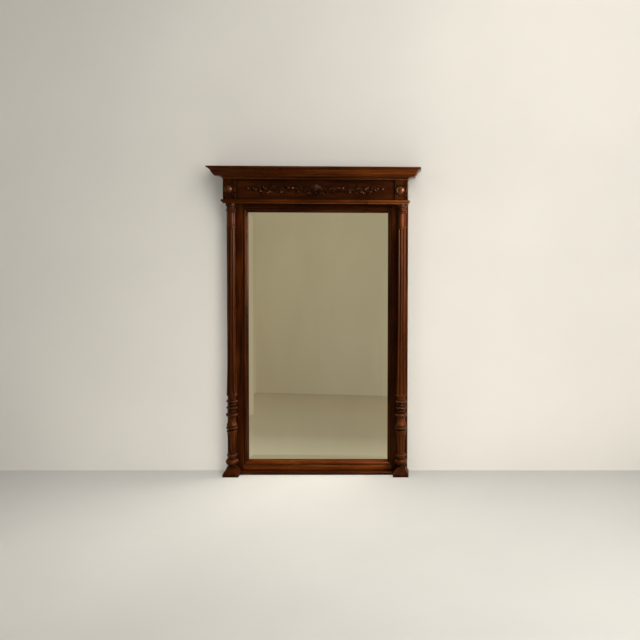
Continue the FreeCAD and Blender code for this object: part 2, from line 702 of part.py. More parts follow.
def make_plinth():
    """Square plinth with an upright foot, a splayed body and an upright cap."""
    foot_top = "dims.plinth_base_height"
    cap_low = "dims.plinth_height - dims.plinth_cap_height"
    foot_half, cap_half = "dims.plinth_width / 2", "dims.plinth_cap_width / 2"
    levels = (("foot", foot_half, ("0", foot_top)), ("cap", cap_half, (cap_low, "dims.plinth_height")))
    forms = [board(f"plinth_{name}", (f"layout.column_x - {half}", f"layout.column_x + {half}"),
                   ("dims.frame_thick", f"layout.column_depth + {half}"), heights)
             for name, half, heights in levels]
    splay = doc.addObject("Part::Wedge", "plinth_splay")
    splay.Placement.Rotation = FreeCAD.Rotation(FreeCAD.Vector(1, 0, 0), 90)
    bind(splay, {
        "Xmin": f"-{foot_half}",
        "Xmax": foot_half,
        "X2min": f"-{cap_half}",
        "X2max": cap_half,
        "Zmin": "dims.frame_thick",
        "Zmax": f"layout.column_depth + {foot_half}",
        "Z2min": "dims.frame_thick",
        "Z2max": f"layout.column_depth + {cap_half}",
        "Ymin": foot_top,
        "Ymax": cap_low,
        "Placement.Base.x": "layout.column_x",
        "Placement.Base.y": "layout.back_y",
    })
    socket = upright_cylinder("plinth_socket", "layout.column_x", "layout.column_depth",
                              ("dims.plinth_height - dims.spigot_length - dims.spigot_gap",
                               f"dims.plinth_height + {CUT_MARGIN}"), "dims.spigot_radius")
    plinth = cut("right_plinth", fuse("plinth_form", [*forms, splay]), [socket])
    mirrored("left_plinth", named("right_plinth", plinth))


# Entablature: architrave, frieze with its blocks and ornaments, cornice
FULL_WIDTH = ("-layout.frame_out_x", "layout.frame_out_x")
FRIEZE_Z = ("layout.frieze_low_z", "layout.frieze_high_z")


def make_architrave_board():
    plank = board("architrave_plank", FULL_WIDTH, ("dims.frame_thick", "layout.block_front"),
                  ("layout.column_top_z", "layout.frieze_low_z"))
    sockets = [upright_cylinder(f"{side}_socket", x, "layout.column_depth",
                                (f"layout.column_top_z - {CUT_MARGIN}",
                                 "layout.column_top_z + dims.spigot_length + dims.spigot_gap"),
                                "dims.spigot_radius")
               for side, x in (("left", "-layout.column_x"), ("right", "layout.column_x"))]
    named("architrave_board", cut("architrave_board", plank, sockets))


def make_frieze():
    named("frieze_board", board("frieze_board", FULL_WIDTH, ("layout.frieze_back", "layout.frieze_front"),
                                FRIEZE_Z))
    side = named("right_frieze_return",
                 board("right_frieze_return",
                       ("layout.frame_out_x - dims.frieze_thick", "layout.frame_out_x"),
                       ("dims.frame_thick", "layout.frieze_back"), FRIEZE_Z))
    mirrored("left_frieze_return", side)
    block = named("right_frieze_block",
                  board("right_frieze_block",
                        ("layout.frame_out_x - dims.block_width", "layout.frame_out_x"),
                        ("layout.frieze_front", "layout.block_front"), FRIEZE_Z))
    mirrored("left_frieze_block", block)


def make_rosettes():
    """Turned ring round a boss, one on each frieze block."""
    body = new_body("right_rosette", "layout.frame_out_x - dims.block_width / 2", "layout.block_front",
                    "layout.frieze_mid_z")
    sketch = new_sketch(body, "YZ_Plane", "rosette_outline")
    draw(sketch, [
        ("0", "0"),
        ("-dims.rosette_crest_height", "0"),
        ("-dims.rosette_crest_height", "dims.rosette_crest_radius"),
        ("-dims.rosette_shoulder_height", "dims.rosette_shoulder_radius"),
        ("-dims.rosette_floor", "dims.rosette_boss_radius"),
        ("-dims.rosette_height", "dims.rosette_boss_radius + dims.rosette_bevel"),
        ("-dims.rosette_height", "dims.rosette_radius - dims.rosette_bevel"),
        ("0", "dims.rosette_radius"),
    ])
    turned = body.newObject("PartDesign::Revolution", "rosette_turning")
    turned.Profile = sketch
    turned.ReferenceAxis = (sketch, ["H_Axis"])
    turned.Angle = 360
    named("rosettes", group("rosettes", [body, twin("left_rosette", body)]))


def make_cartouche():
    """Raised oval in the middle of the frieze with a six-sided field on it, which carries the shell."""
    body = new_body("frieze_cartouche", depth="layout.frieze_front", z="layout.frieze_mid_z")
    half, rise, border = "dims.cartouche_half_width", "dims.cartouche_half_height", "dims.cartouche_border"
    pad(body, "XZ_Plane", "border", [(f"-{half}", "0", rise), (half, "0", rise)],
        "dims.cartouche_relief / 2")
    field_half, field_rise = f"({half} - {border})", f"({rise} - {border} / 2)"
    pad(body, "XZ_Plane", "field", [
        (f"-{field_half}", "0"),
        (f"-{field_half} / 2", f"-{field_rise}"),
        (f"{field_half} / 2", f"-{field_rise}"),
        (field_half, "0"),
        (f"{field_half} / 2", field_rise),
        (f"-{field_half} / 2", field_rise),
    ], "dims.cartouche_relief")
    named("frieze_cartouche", body)


def make_garland():
    """Tapering swag beside the shell, in low relief."""
    root = "dims.cartouche_half_width"
    tip = f"{root} + dims.garland_length"
    root_half, tip_half = "dims.garland_root_height / 2", "dims.garland_tip_height / 2"
    body = new_body("right_garland", depth="layout.frieze_front", z="layout.frieze_mid_z")
    pad(body, "XZ_Plane", "garland", [
        (root, f"-{root_half}", "dims.garland_sag"),
        (tip, f"-{tip_half}"),
        (tip, tip_half, "-dims.garland_sag / 2"),
        (root, root_half),
    ], "dims.garland_relief")
    mirrored("left_garland", named("right_garland", body))


def make_glue_blocks():
    """Blocks in the inner corners behind the frieze, on the architrave board."""
    side = "dims.glue_block_side"
    inner = "layout.frame_out_x - dims.frieze_thick"
    depth = (f"layout.frieze_back - {side}", "layout.frieze_back")
    low = "layout.frieze_low_z"
    blocks = [
        board("right_corner_block", (f"{inner} - {side}", inner), depth,
              (low, f"{low} + dims.glue_block_length")),
        board("left_corner_block", (f"-({inner})", f"-({inner} - {side})"), depth,
              (low, f"{low} + dims.glue_block_length")),
    ]
    half = "dims.glue_block_length / 2"
    for name, share in (("left", -0.3), ("middle", 0), ("right", 0.3)):
        centre = f"({share} * dims.sight_width)"
        blocks.append(board(f"{name}_glue_block", (f"{centre} - {half}", f"{centre} + {half}"), depth,
                            (low, f"{low} + {side}")))
    named("glue_blocks", group("glue_blocks", blocks))


def make_moulding_set(name, profile, back, reach):
    """Front moulding and two mitred returns round the front of the entablature.

    The profile has corners (reach, height) counted forwards from the face of the frieze blocks.
    """
    tip_x = f"layout.frame_out_x + {reach}"
    tip_depth = f"layout.block_front + {reach}"
    front = new_body(f"{name}_front")
    outline = [(f"-(layout.block_front + {corner[0]})", *corner[1:]) for corner in profile]
    pad(front, "YZ_Plane", f"{name}_front", flip_bulges(outline), f"2 * ({tip_x})", symmetric=True)
    inner_x = f"layout.frame_out_x + {back} - {CUT_MARGIN}"
    outer_x = f"{tip_x} + {CUT_MARGIN}"
    inner_y = f"-(layout.block_front + {back} - {CUT_MARGIN})"
    outer_y = f"-({tip_depth} + {CUT_MARGIN})"
    mitre(front, "XY_Plane", f"{name}_front", [
        [(inner_x, inner_y), (outer_x, outer_y), (outer_x, inner_y)],
        [(f"-({inner_x})", inner_y), (f"-({outer_x})", outer_y), (f"-({outer_x})", inner_y)],
    ])
    named(f"{name}_front", front)
    side = new_body(f"{name}_return")
    outline = [(f"layout.frame_out_x + {corner[0]}", *corner[1:]) for corner in profile]
    pad(side, "XZ_Plane", f"{name}_return", outline, tip_depth)
    mitre(side, "XY_Plane", f"{name}_return", [
        [(inner_x, inner_y), (outer_x, outer_y), (inner_x, outer_y)],
    ])
    mirrored(f"left_{name}_return", named(f"right_{name}_return", side))


def make_architrave_moulding():
    low, high = "layout.column_top_z", "layout.frieze_low_z"
    nose_z = f"{high} - dims.architrave_nose_height"
    nose_root = "dims.architrave_reach - dims.architrave_nose"
    make_moulding_set("architrave", [
        ("0", low),
        ("dims.architrave_toe", low, "-dims.architrave_toe"),
        (nose_root, nose_z, "dims.architrave_nose"),
        (nose_root, high),
        ("0", high),
    ], "0", "dims.architrave_reach")


def make_bed_moulding():
    low, high = "layout.frieze_high_z", "layout.bed_high_z"
    make_moulding_set("bed_moulding", [
        ("0", low),
        ("dims.bed_toe", low, "-dims.bed_hollow"),
        ("dims.bed_reach", f"{high} - dims.bed_fillet"),
        ("dims.bed_reach", high),
        ("0", high),
    ], "0", "dims.bed_reach")


def make_crown_moulding():
    make_moulding_set("crown", [
        ("layout.corona_reach", "layout.bed_high_z"),
        ("layout.crown_low_reach", "layout.bed_high_z"),
        ("layout.crown_low_reach", "layout.crown_low_z", "dims.crown_curve"),
        ("layout.crown_mid_reach", "layout.crown_mid_z", "-dims.crown_curve"),
        ("layout.crown_reach", "layout.crown_high_z"),
        ("layout.crown_reach", "layout.top_z"),
        ("layout.corona_reach", "layout.top_z"),
    ], "layout.corona_reach", "layout.crown_reach")


def make_cornice_boards():
    named("cornice_base", board("cornice_base", FULL_WIDTH, ("0", "layout.block_front"),
                                ("layout.frieze_high_z", "layout.bed_high_z")))
    edge = "layout.frame_out_x + layout.corona_reach"
    named("corona_board", board("corona_board", (f"-({edge})", edge),
                                ("0", "layout.block_front + layout.corona_reach"),
                                ("layout.bed_high_z", "layout.bed_high_z + dims.corona_thick")))


make_stile()
make_rail("top_rail", ("layout.top_rail_z", "layout.frieze_high_z"), TOP_TENON,
          ("layout.top_rail_z", "layout.board_high_z"))
make_rail("bottom_rail", ("dims.rail_lift", "layout.rail_top_z"), BOTTOM_TENON,
          ("layout.board_low_z", "layout.rail_top_z"))
make_band()
make_side_moulding()
make_level_moulding("top_sight_moulding", "layout.sight_high_z", "+")
make_level_moulding("bottom_sight_moulding", "layout.sight_low_z", "-")
make_glass()
make_glass_blocks()
make_back_boards()
make_column()
make_plinth()
make_architrave_board()
make_architrave_moulding()
make_frieze()
make_rosettes()
make_cartouche()
make_garland()
make_glue_blocks()
make_bed_moulding()
make_cornice_boards()
make_crown_moulding()
make_hangers()
doc.recompute()

failed = [item.Label for item in doc.Objects if {"Invalid", "Error"} & set(item.State)]
failed += [item.Label for item in pieces if item.Shape.isNull() or not item.Shape.isValid()]
if failed:
    raise RuntimeError("not built: " + ", ".join(failed))
os.makedirs("parts", exist_ok=True)
for item in pieces:
    item.Shape.exportStep(f"parts/{item.Label}.step")
print(len(pieces), "pieces written")
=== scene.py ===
import json
import math
import random

import bpy
from mathutils import Matrix, Vector

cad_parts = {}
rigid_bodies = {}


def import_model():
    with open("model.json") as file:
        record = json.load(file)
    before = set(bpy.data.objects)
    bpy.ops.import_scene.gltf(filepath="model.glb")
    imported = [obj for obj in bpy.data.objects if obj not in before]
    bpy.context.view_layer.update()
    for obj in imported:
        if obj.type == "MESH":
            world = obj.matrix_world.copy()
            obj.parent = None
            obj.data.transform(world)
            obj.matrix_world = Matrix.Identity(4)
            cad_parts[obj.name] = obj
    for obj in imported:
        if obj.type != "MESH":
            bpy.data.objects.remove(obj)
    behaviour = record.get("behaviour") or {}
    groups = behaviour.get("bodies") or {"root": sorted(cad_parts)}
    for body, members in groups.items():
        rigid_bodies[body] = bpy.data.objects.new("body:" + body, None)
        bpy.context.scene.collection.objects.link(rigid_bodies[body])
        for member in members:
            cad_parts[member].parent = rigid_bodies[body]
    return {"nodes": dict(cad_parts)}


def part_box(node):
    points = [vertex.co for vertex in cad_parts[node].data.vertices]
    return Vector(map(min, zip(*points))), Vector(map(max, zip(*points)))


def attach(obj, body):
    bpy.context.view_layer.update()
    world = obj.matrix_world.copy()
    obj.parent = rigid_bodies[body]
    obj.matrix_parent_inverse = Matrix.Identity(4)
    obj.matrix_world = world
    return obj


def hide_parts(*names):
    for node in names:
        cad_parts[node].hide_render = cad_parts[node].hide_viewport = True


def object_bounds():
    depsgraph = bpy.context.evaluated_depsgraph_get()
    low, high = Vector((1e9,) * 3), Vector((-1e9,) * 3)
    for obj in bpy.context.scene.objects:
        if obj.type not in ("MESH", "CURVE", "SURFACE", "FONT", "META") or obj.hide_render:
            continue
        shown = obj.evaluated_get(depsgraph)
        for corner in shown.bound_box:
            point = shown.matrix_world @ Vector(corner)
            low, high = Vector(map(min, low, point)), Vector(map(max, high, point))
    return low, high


for leftover in list(bpy.data.objects):
    bpy.data.objects.remove(leftover)

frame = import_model()
cad_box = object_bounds()
nodes = frame["nodes"]

MM = 0.001
SIDES = {"left": -1, "right": 1}
SEED = 11
OCCLUSION_SAMPLES = 8


def even(value):
    """One value three times, as a grey or as a scale."""
    return (value, value, value)


# Materials: each is a small graph of shader nodes on the object's own coordinates, in metres
class Graph:
    """Shader nodes of one material, with short calls to add and link them."""

    def __init__(self, name):
        self.material = bpy.data.materials.new(name)
        self.material.use_nodes = True
        self.tree = self.material.node_tree
        self.shader = self.tree.nodes["Principled BSDF"]
        self.output = self.tree.nodes["Material Output"]
        self.place = self.add("TexCoord", {}, {}).outputs["Object"]

    def feed(self, socket, value):
        if isinstance(value, bpy.types.NodeSocket):
            self.tree.links.new(value, socket)
        else:
            socket.default_value = value

    def add(self, kind, settings, inputs):
        node = self.tree.nodes.new("ShaderNode" + kind)
        for key, value in settings.items():
            setattr(node, key, value)
        for key, value in inputs.items():
            self.feed(node.inputs[key], value)
        return node

    def noise(self, stretch, detail, distortion=0.0):
        mapped = self.add("Mapping", {}, {"Vector": self.place, "Scale": stretch})
        inputs = {"Vector": mapped.outputs["Vector"], "Scale": 1.0, "Detail": detail,
                  "Distortion": distortion}
        return self.add("TexNoise", {}, inputs).outputs["Fac"]

    def ramp(self, value, stops):
        node = self.add("ValToRGB", {}, {"Fac": value})
        elements = node.color_ramp.elements
        while len(elements) < len(stops):
            elements.new(1.0)
        for element, (position, colour) in zip(elements, stops):
            element.position = position
            element.color = (*colour, 1.0)
        return node.outputs["Color"]

    def mix(self, mode, share, first, second):
        node = self.add("Mix", {"data_type": "RGBA", "blend_type": mode}, {})
        sockets = [socket for socket in node.inputs if socket.enabled]
        for socket, value in zip(sockets, (share, first, second)):
            self.feed(socket, value)
        return next(socket for socket in node.outputs if socket.enabled)

    def shade(self, colour, value, places, levels):
        """Multiplies a colour by a grey that follows a value."""
        greys = self.ramp(value, [(place, even(level)) for place, level in zip(places, levels)])
        return self.mix("MULTIPLY", 1.0, colour, greys)

    def cover(self, colour, mask, stain):
        """Lays one plain colour over another where the mask is high."""
        return self.mix("MIX", mask, colour, (*stain, 1.0))

    def span(self, value, old, new):
        inputs = {"Value": value, "From Min": old[0], "From Max": old[1],
                  "To Min": new[0], "To Max": new[1]}
        return self.add("MapRange", {}, inputs).outputs["Result"]

    def maths(self, operation, first, second):
        node = self.add("Math", {"operation": operation}, {})
        self.feed(node.inputs[0], first)
        self.feed(node.inputs[1], second)
        return node.outputs["Value"]

    def occlusion(self, distance, inside):
        settings = {"samples": OCCLUSION_SAMPLES, "inside": inside, "only_local": inside}
        return self.add("AmbientOcclusion", settings, {"Distance": distance}).outputs["AO"]

    def bump(self, height, strength, distance):
        node = self.add("Bump", {}, {"Height": height, "Strength": strength, "Distance": distance})
        self.feed(self.shader.inputs["Normal"], node.outputs["Normal"])

    def finish(self, values):
        for key, value in values.items():
            self.feed(self.shader.inputs[key], value)
        return self.material


def grain(along, slow, fast):
    """Texture scale, per metre, that runs slowly along one axis and fast across it."""
    return tuple(slow if axis == along else fast for axis in "XYZ")


# Polished hardwood: stains from dark to warm, scales along and across the grain, and where on a
# noise each effect begins and ends
DARK_STAIN = (0.018, 0.0034, 0.0007)
RED_STAIN = (0.059, 0.0114, 0.0015)
WARM_STAIN = (0.112, 0.0290, 0.0042)
# Colour of the pores, also laid as painted shade in recesses and between parts
PORE_AND_SHADE_COLOUR = (0.0034, 0.0009, 0.0004)
# Colour of convex edges: wear, and also painted highlight on ridges
WORN_AND_HIGHLIGHT_COLOUR = (0.17, 0.058, 0.015)
AMBER_POLISH = (1.0, 0.52, 0.31)
STAIN_PLACES = (0.30, 0.50, 0.74)
WOOD_FIGURE, WOOD_FIBRE, WOOD_PORES = (1.7, 26.0), (16.0, 620.0), (55.0, 1500.0)
PATINA_SCALE = 6.0
FIBRE_PLACES, FIBRE_LEVELS = (0.25, 0.75), (0.62, 1.25)
MID_PLACES, PATINA_LEVELS = (0.3, 0.7), (0.72, 1.22)
PIECE_LEVELS = (0.86, 1.14)
PORE_PLACES, PORE_COVER = (0.60, 0.70), 0.75
# Reach and ramp of the lightened edges, worn and painted as highlight
EDGE_REACH, EDGE_PLACES = 3.5 * MM, (0.55, 0.95)
# Strength of the painted shade in recesses
RECESS_SHADE_COVER = 0.95
POLISH_ROUGHNESS = (0.25, 0.40)
ROUGH_PORE_PLACES, PORE_ROUGHNESS = (0.58, 0.72), 0.16
RELIEF_PLACES, FIBRE_RELIEF = (0.2, 0.8), 0.5
RELIEF_STRENGTH, RELIEF_DEPTH = 0.22, 0.5 * MM
COAT, COAT_ROUGHNESS, SPECULAR = 0.04, 0.12, 0.25
# Plain painted recess shade (reach, closed, open), and plain edge wear with painted highlight
PLAIN_RECESS_SHADE = (28 * MM, 0.25, 0.90)
PLAIN_EDGE_WEAR_AND_HIGHLIGHT = 0.25


def polished_wood(name, along, brightness, gloss, recess_shade=PLAIN_RECESS_SHADE, edge_wear_and_highlight=PLAIN_EDGE_WEAR_AND_HIGHLIGHT):
    """Dark stained hardwood: streaky figure, fine fibres and pores, painted recess shade, worn edges with
    painted highlight.
    """
    graph = Graph(name)
    figure = graph.noise(grain(along, *WOOD_FIGURE), detail=5.0, distortion=1.1)
    fibre = graph.noise(grain(along, *WOOD_FIBRE), detail=3.0)
    pores = graph.noise(grain(along, *WOOD_PORES), detail=1.0)
    patina = graph.noise(even(PATINA_SCALE), detail=4.0)
    stains = [tuple(brightness * part for part in stain) for stain in (DARK_STAIN, RED_STAIN, WARM_STAIN)]
    colour = graph.ramp(figure, list(zip(STAIN_PLACES, stains)))
    colour = graph.shade(colour, fibre, FIBRE_PLACES, FIBRE_LEVELS)
    colour = graph.shade(colour, patina, MID_PLACES, PATINA_LEVELS)
    pore_mask = graph.span(pores, PORE_PLACES, (0.0, PORE_COVER))
    colour = graph.cover(colour, pore_mask, PORE_AND_SHADE_COLOUR)
    piece = graph.add("ObjectInfo", {}, {}).outputs["Random"]
    colour = graph.shade(colour, piece, (0.0, 1.0), PIECE_LEVELS)
    # Convex edges lightened: wear, and painted highlight
    worn_and_highlit_edges = graph.span(graph.occlusion(EDGE_REACH, True), EDGE_PLACES, (edge_wear_and_highlight, 0.0))
    colour = graph.cover(colour, worn_and_highlit_edges, WORN_AND_HIGHLIGHT_COLOUR)
    # Painted shade: darker wherever occlusion finds nearby surfaces, in recesses and between parts
    reach, closed, open_air = recess_shade
    hollow = graph.span(graph.occlusion(reach, False), (closed, open_air), (RECESS_SHADE_COVER, 0.0))
    colour = graph.cover(colour, hollow, PORE_AND_SHADE_COLOUR)
    roughness = graph.maths("ADD", graph.span(patina, MID_PLACES, POLISH_ROUGHNESS),
                            graph.span(pores, ROUGH_PORE_PLACES, (0.0, PORE_ROUGHNESS)))
    fibre_relief = graph.span(fibre, RELIEF_PLACES, (0.0, FIBRE_RELIEF))
    graph.bump(graph.maths("SUBTRACT", fibre_relief, pore_mask), RELIEF_STRENGTH, RELIEF_DEPTH)
    return graph.finish({"Base Color": colour, "Roughness": roughness, "Coat Weight": COAT * gloss,
                         "Coat Roughness": COAT_ROUGHNESS, "Specular IOR Level": SPECULAR * gloss,
                         "Specular Tint": (*AMBER_POLISH, 1.0)})


# Softwood of the back, each board shifted to its own stretch of figure
PINE_DARK = (0.28, 0.155, 0.066)
PINE_MID = (0.44, 0.275, 0.125)
PINE_PALE = (0.56, 0.385, 0.205)
# Colour of knots, also laid as painted shade in recesses
KNOT_AND_SHADE_BROWN = (0.115, 0.048, 0.018)
PINE_PLACES = (0.32, 0.48, 0.62)
PINE_FIGURE, PINE_FIBRE, PINE_KNOTS = (1.1, 17.0), (18.0, 420.0), (3.2, 7.5)
PINE_FIBRE_LEVELS = (0.74, 1.12)
KNOT_PLACES, KNOT_COVER = (0.05, 0.13), 0.85
DUST_SCALE, DUST_LEVELS, DUST_ROUGHNESS = 9.0, (0.66, 1.06), (0.72, 0.92)
BOARD_SHIFT = (13.0, 0.0, 7.0)
BOARD_LEVELS = (0.80, 1.08)
# Reach, ramp and strength of the painted shade in recesses
BOARD_SHADE_REACH, BOARD_SHADE_PLACES, BOARD_SHADE_COVER = 20 * MM, (0.3, 0.9), 0.6
PINE_RELIEF_STRENGTH, PINE_RELIEF_DEPTH = 0.35, 0.6 * MM
PINE_SPECULAR = 0.25


def plain_softwood(name, along):
    """Old unpolished softwood: broad growth bands, sparse knots, grey dust and painted shade in recesses."""
    graph = Graph(name)
    board = graph.add("ObjectInfo", {}, {}).outputs["Random"]
    inputs = {0: board, 1: BOARD_SHIFT, 2: graph.place}
    graph.place = graph.add("VectorMath", {"operation": "MULTIPLY_ADD"}, inputs).outputs["Vector"]
    figure = graph.noise(grain(along, *PINE_FIGURE), detail=4.0, distortion=1.6)
    fibre = graph.noise(grain(along, *PINE_FIBRE), detail=3.0)
    dust = graph.noise(even(DUST_SCALE), detail=5.0)
    colour = graph.ramp(figure, list(zip(PINE_PLACES, (PINE_PALE, PINE_MID, PINE_DARK))))
    colour = graph.shade(colour, fibre, FIBRE_PLACES, PINE_FIBRE_LEVELS)
    spots = graph.add("Mapping", {}, {"Vector": graph.place, "Scale": grain(along, *PINE_KNOTS)})
    inputs = {"Vector": spots.outputs["Vector"], "Scale": 1.0, "Randomness": 1.0}
    distance = graph.add("TexVoronoi", {}, inputs).outputs["Distance"]
    colour = graph.cover(colour, graph.span(distance, KNOT_PLACES, (KNOT_COVER, 0.0)), KNOT_AND_SHADE_BROWN)
    colour = graph.shade(colour, dust, MID_PLACES, DUST_LEVELS)
    colour = graph.shade(colour, board, (0.0, 1.0), BOARD_LEVELS)
    # Painted shade: knot colour laid where occlusion finds nearby surfaces
    hollow = graph.span(graph.occlusion(BOARD_SHADE_REACH, False), BOARD_SHADE_PLACES, (BOARD_SHADE_COVER, 0.0))
    colour = graph.cover(colour, hollow, KNOT_AND_SHADE_BROWN)
    graph.bump(fibre, PINE_RELIEF_STRENGTH, PINE_RELIEF_DEPTH)
    return graph.finish({"Base Color": colour, "Roughness": graph.span(dust, MID_PLACES, DUST_ROUGHNESS),
                         "Specular IOR Level": PINE_SPECULAR})


HAZE_SCALE, SPECK_SCALE = (5.0, 5.0, 1.6), 160.0
SILVER_TONES = [(0.3, (0.84, 0.85, 0.815)), (0.7, (0.90, 0.90, 0.87))]
SPECK_PLACES, SPECK_COVER, SPECK_GREY = (0.735, 0.78), 0.35, (0.30, 0.29, 0.25)
SILVER_HAZE_PLACES, SILVER_ROUGHNESS = (0.35, 0.7), (0.004, 0.022)


def silvered_glass():
    """Old plate mirror: bright silvering with a faint warm cast and a little haze."""
    graph = Graph("silvered_glass")
    haze = graph.noise(HAZE_SCALE, detail=5.0, distortion=0.6)
    specks = graph.noise(even(SPECK_SCALE), detail=2.0)
    colour = graph.ramp(haze, SILVER_TONES)
    colour = graph.cover(colour, graph.span(specks, SPECK_PLACES, (0.0, SPECK_COVER)), SPECK_GREY)
    return graph.finish({"Base Color": colour, "Metallic": 1.0,
                         "Roughness": graph.span(haze, SILVER_HAZE_PLACES, SILVER_ROUGHNESS)})


STEEL_SCALE = 70.0
STEEL_TONES = [(0.35, (0.17, 0.105, 0.06)), (0.5, (0.36, 0.33, 0.29)), (0.7, (0.5, 0.48, 0.45))]
STEEL_ROUGHNESS, STEEL_METAL = (0.62, 0.38), 0.9
STEEL_RELIEF_STRENGTH, STEEL_RELIEF_DEPTH = 0.3, 0.3 * MM


def dull_steel():
    """Plated iron, gone dull, with a little rust."""
    graph = Graph("dull_steel")
    wear = graph.noise(even(STEEL_SCALE), detail=6.0)
    graph.bump(wear, STEEL_RELIEF_STRENGTH, STEEL_RELIEF_DEPTH)
    return graph.finish({"Base Color": graph.ramp(wear, STEEL_TONES), "Metallic": STEEL_METAL,
                         "Roughness": graph.span(wear, MID_PLACES, STEEL_ROUGHNESS)})


# Each wood has its grain axis, brightness of stain and gloss; some also have painted shade of their own in
# recesses (reach, closed, open) and their own edge wear with painted highlight
LEVEL_WOOD = polished_wood("level_wood", "X", brightness=0.99, gloss=0.25)
DEPTH_WOOD = polished_wood("depth_wood", "Y", brightness=1.10, gloss=0.7)
UPRIGHT_WOOD = polished_wood("upright_wood", "Z", brightness=0.60, gloss=0.25)
# Frieze blocks darkened well below the plain wood: painted shade
BLOCK_WOOD = polished_wood("block_wood", "Z", brightness=0.33, gloss=0.2)
# Top rail and top sight moulding darkened: painted shadow of the architrave
DARK_LEVEL_WOOD = polished_wood("dark_level_wood", "X", brightness=0.52, gloss=0.2)
DARK_UPRIGHT_WOOD = polished_wood("dark_upright_wood", "Z", brightness=0.74, gloss=0.3,
                                  recess_shade=(16 * MM, 0.20, 0.80))
# Bottom rail and bottom sight moulding brightened: painted light bounced from the floor
FLOOR_BOUNCE_PAINTED_WOOD = polished_wood("floor_bounce_painted_wood", "X", brightness=2.2, gloss=0.4)
# Columns: strong painted shade in the flutes and between the rings
COLUMN_WOOD = polished_wood("column_wood", "Z", brightness=1.04, gloss=0.5,
                            recess_shade=(22 * MM, 0.60, 1.0), edge_wear_and_highlight=0.3)
# Carving darkened to the frieze's level: painted shade under the cornice
CARVED_WOOD = polished_wood("carved_wood", "X", brightness=0.36, gloss=0.45,
                            recess_shade=(12 * MM, 0.55, 1.0), edge_wear_and_highlight=0.15)
# Shell darkened further: painted shade, against the light its upturned face catches
SHELL_WOOD = polished_wood("shell_wood", "X", brightness=0.28, gloss=0.3,
                           recess_shade=(12 * MM, 0.55, 1.0), edge_wear_and_highlight=0.1)
# Berries and domes lighter: painted highlight, on top of their strong real gloss
HIGHLIGHT_PAINTED_WOOD = polished_wood("highlight_painted_wood", "X", brightness=1.4, gloss=3.0,
                            recess_shade=(8 * MM, 0.45, 1.0), edge_wear_and_highlight=0.3)
# Frieze darkened: painted shadow of the cornice, with deeper painted shade round the carving
FRIEZE_WOOD = polished_wood("frieze_wood", "X", brightness=0.38, gloss=0.3,
                            recess_shade=(16 * MM, 0.40, 1.0))
PINE = plain_softwood("plain_softwood", "X")
GLASS = silvered_glass()
STEEL = dull_steel()


def both_sides(*names):
    return [f"{side}_{name}" for side in SIDES for name in names]


MATERIALS = [
    (LEVEL_WOOD, ["architrave_board", "architrave_front", "cornice_base", "bed_moulding_front",
                  "corona_board", "crown_front", "bottom_band"]),
    (DEPTH_WOOD, both_sides("architrave_return", "frieze_return", "bed_moulding_return", "crown_return")),
    (UPRIGHT_WOOD, both_sides("sight_moulding", "plinth")),
    (BLOCK_WOOD, both_sides("frieze_block")),
    (FRIEZE_WOOD, ["frieze_board"]),
    (DARK_LEVEL_WOOD, ["top_rail", "top_sight_moulding"]),
    (DARK_UPRIGHT_WOOD, both_sides("stile")),
    (FLOOR_BOUNCE_PAINTED_WOOD, ["bottom_rail", "bottom_sight_moulding"]),
    (PINE, ["glass_blocks", "glue_blocks", *(name for name in nodes if name.startswith("back_board"))]),
    (GLASS, ["mirror_glass"]),
    (STEEL, ["hanger_plates"]),
]
EASED_EDGE = 0.9 * MM
BOARD_EDGE = 2.5 * MM
EDGE_STEPS = 2
WELD_REACH = 0.01 * MM
SHARP_ANGLE = math.radians(28)


def ease_edges(piece, width):
    """Welds a node's seams and rounds its arrises a little."""
    weld = piece.modifiers.new("weld", "WELD")
    weld.merge_threshold = WELD_REACH
    ease = piece.modifiers.new("eased_edges", "BEVEL")
    ease.width = width
    ease.segments = EDGE_STEPS
    ease.limit_method = "ANGLE"
    ease.angle_limit = SHARP_ANGLE
    ease.use_clamp_overlap = True
    ease.harden_normals = True


def dress(piece, material):
    piece.data.materials.clear()
    piece.data.materials.append(material)


for material, names in MATERIALS:
    for name in names:
        dress(nodes[name], material)
        if material is not GLASS:
            ease_edges(nodes[name], BOARD_EDGE if material is PINE else EASED_EDGE)


# Mesh building: rows of points joined by quads into one closed skin
class Skin:
    """Collects closed forms, each made of rows of points, and turns them into one piece."""

    def __init__(self):
        self.points = []
        self.faces = []

    def loft(self, rings, flip=False):
        """Adds rings of equal length, joined side by side, with both ends closed."""
        start, count = len(self.points), len(rings[0])
        added = []
        for ring in rings:
            self.points.extend(ring)
        for row in range(len(rings) - 1):
            low, high = start + row * count, start + (row + 1) * count
            for step in range(count):
                after = (step + 1) % count
                added.append((low + step, low + after, high + after, high + step))
        added.append(tuple(start + step for step in reversed(range(count))))
        added.append(tuple(start + (len(rings) - 1) * count + step for step in range(count)))
        if flip:
            added = [tuple(reversed(face)) for face in added]
        self.faces.extend(added)

    def piece(self, name, material, slot, replaced=()):
        mesh = bpy.data.meshes.new(name)
        mesh.from_pydata([tuple(point) for point in self.points], [], self.faces)
        mesh.validate()
        mesh.shade_smooth()
        mesh.set_sharp_from_angle(angle=SHARP_ANGLE)
        mesh.materials.append(material)
        made = bpy.data.objects.new(name, mesh)
        bpy.context.scene.collection.objects.link(made)
        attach(made, "root")
        if replaced:
            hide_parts(*replaced)


def rounded(count):
    """Even steps from -1 to 1, bunched towards both ends."""
    return [-math.cos(math.pi * step / count) for step in range(count + 1)]


def circle(count):
    """Cosine and sine at even steps round a circle."""
    turns = [2 * math.pi * step / count for step in range(count)]
    return [(math.cos(turn), math.sin(turn)) for turn in turns]


# Columns: turned members from the plinth to the architrave, each a list of (radius, height)
ROUND_STEPS = 10
CORE = 20 * MM


def line(height, low, high):
    """A straight stretch between two radii."""
    return [(low, 0.0), (high, height)]


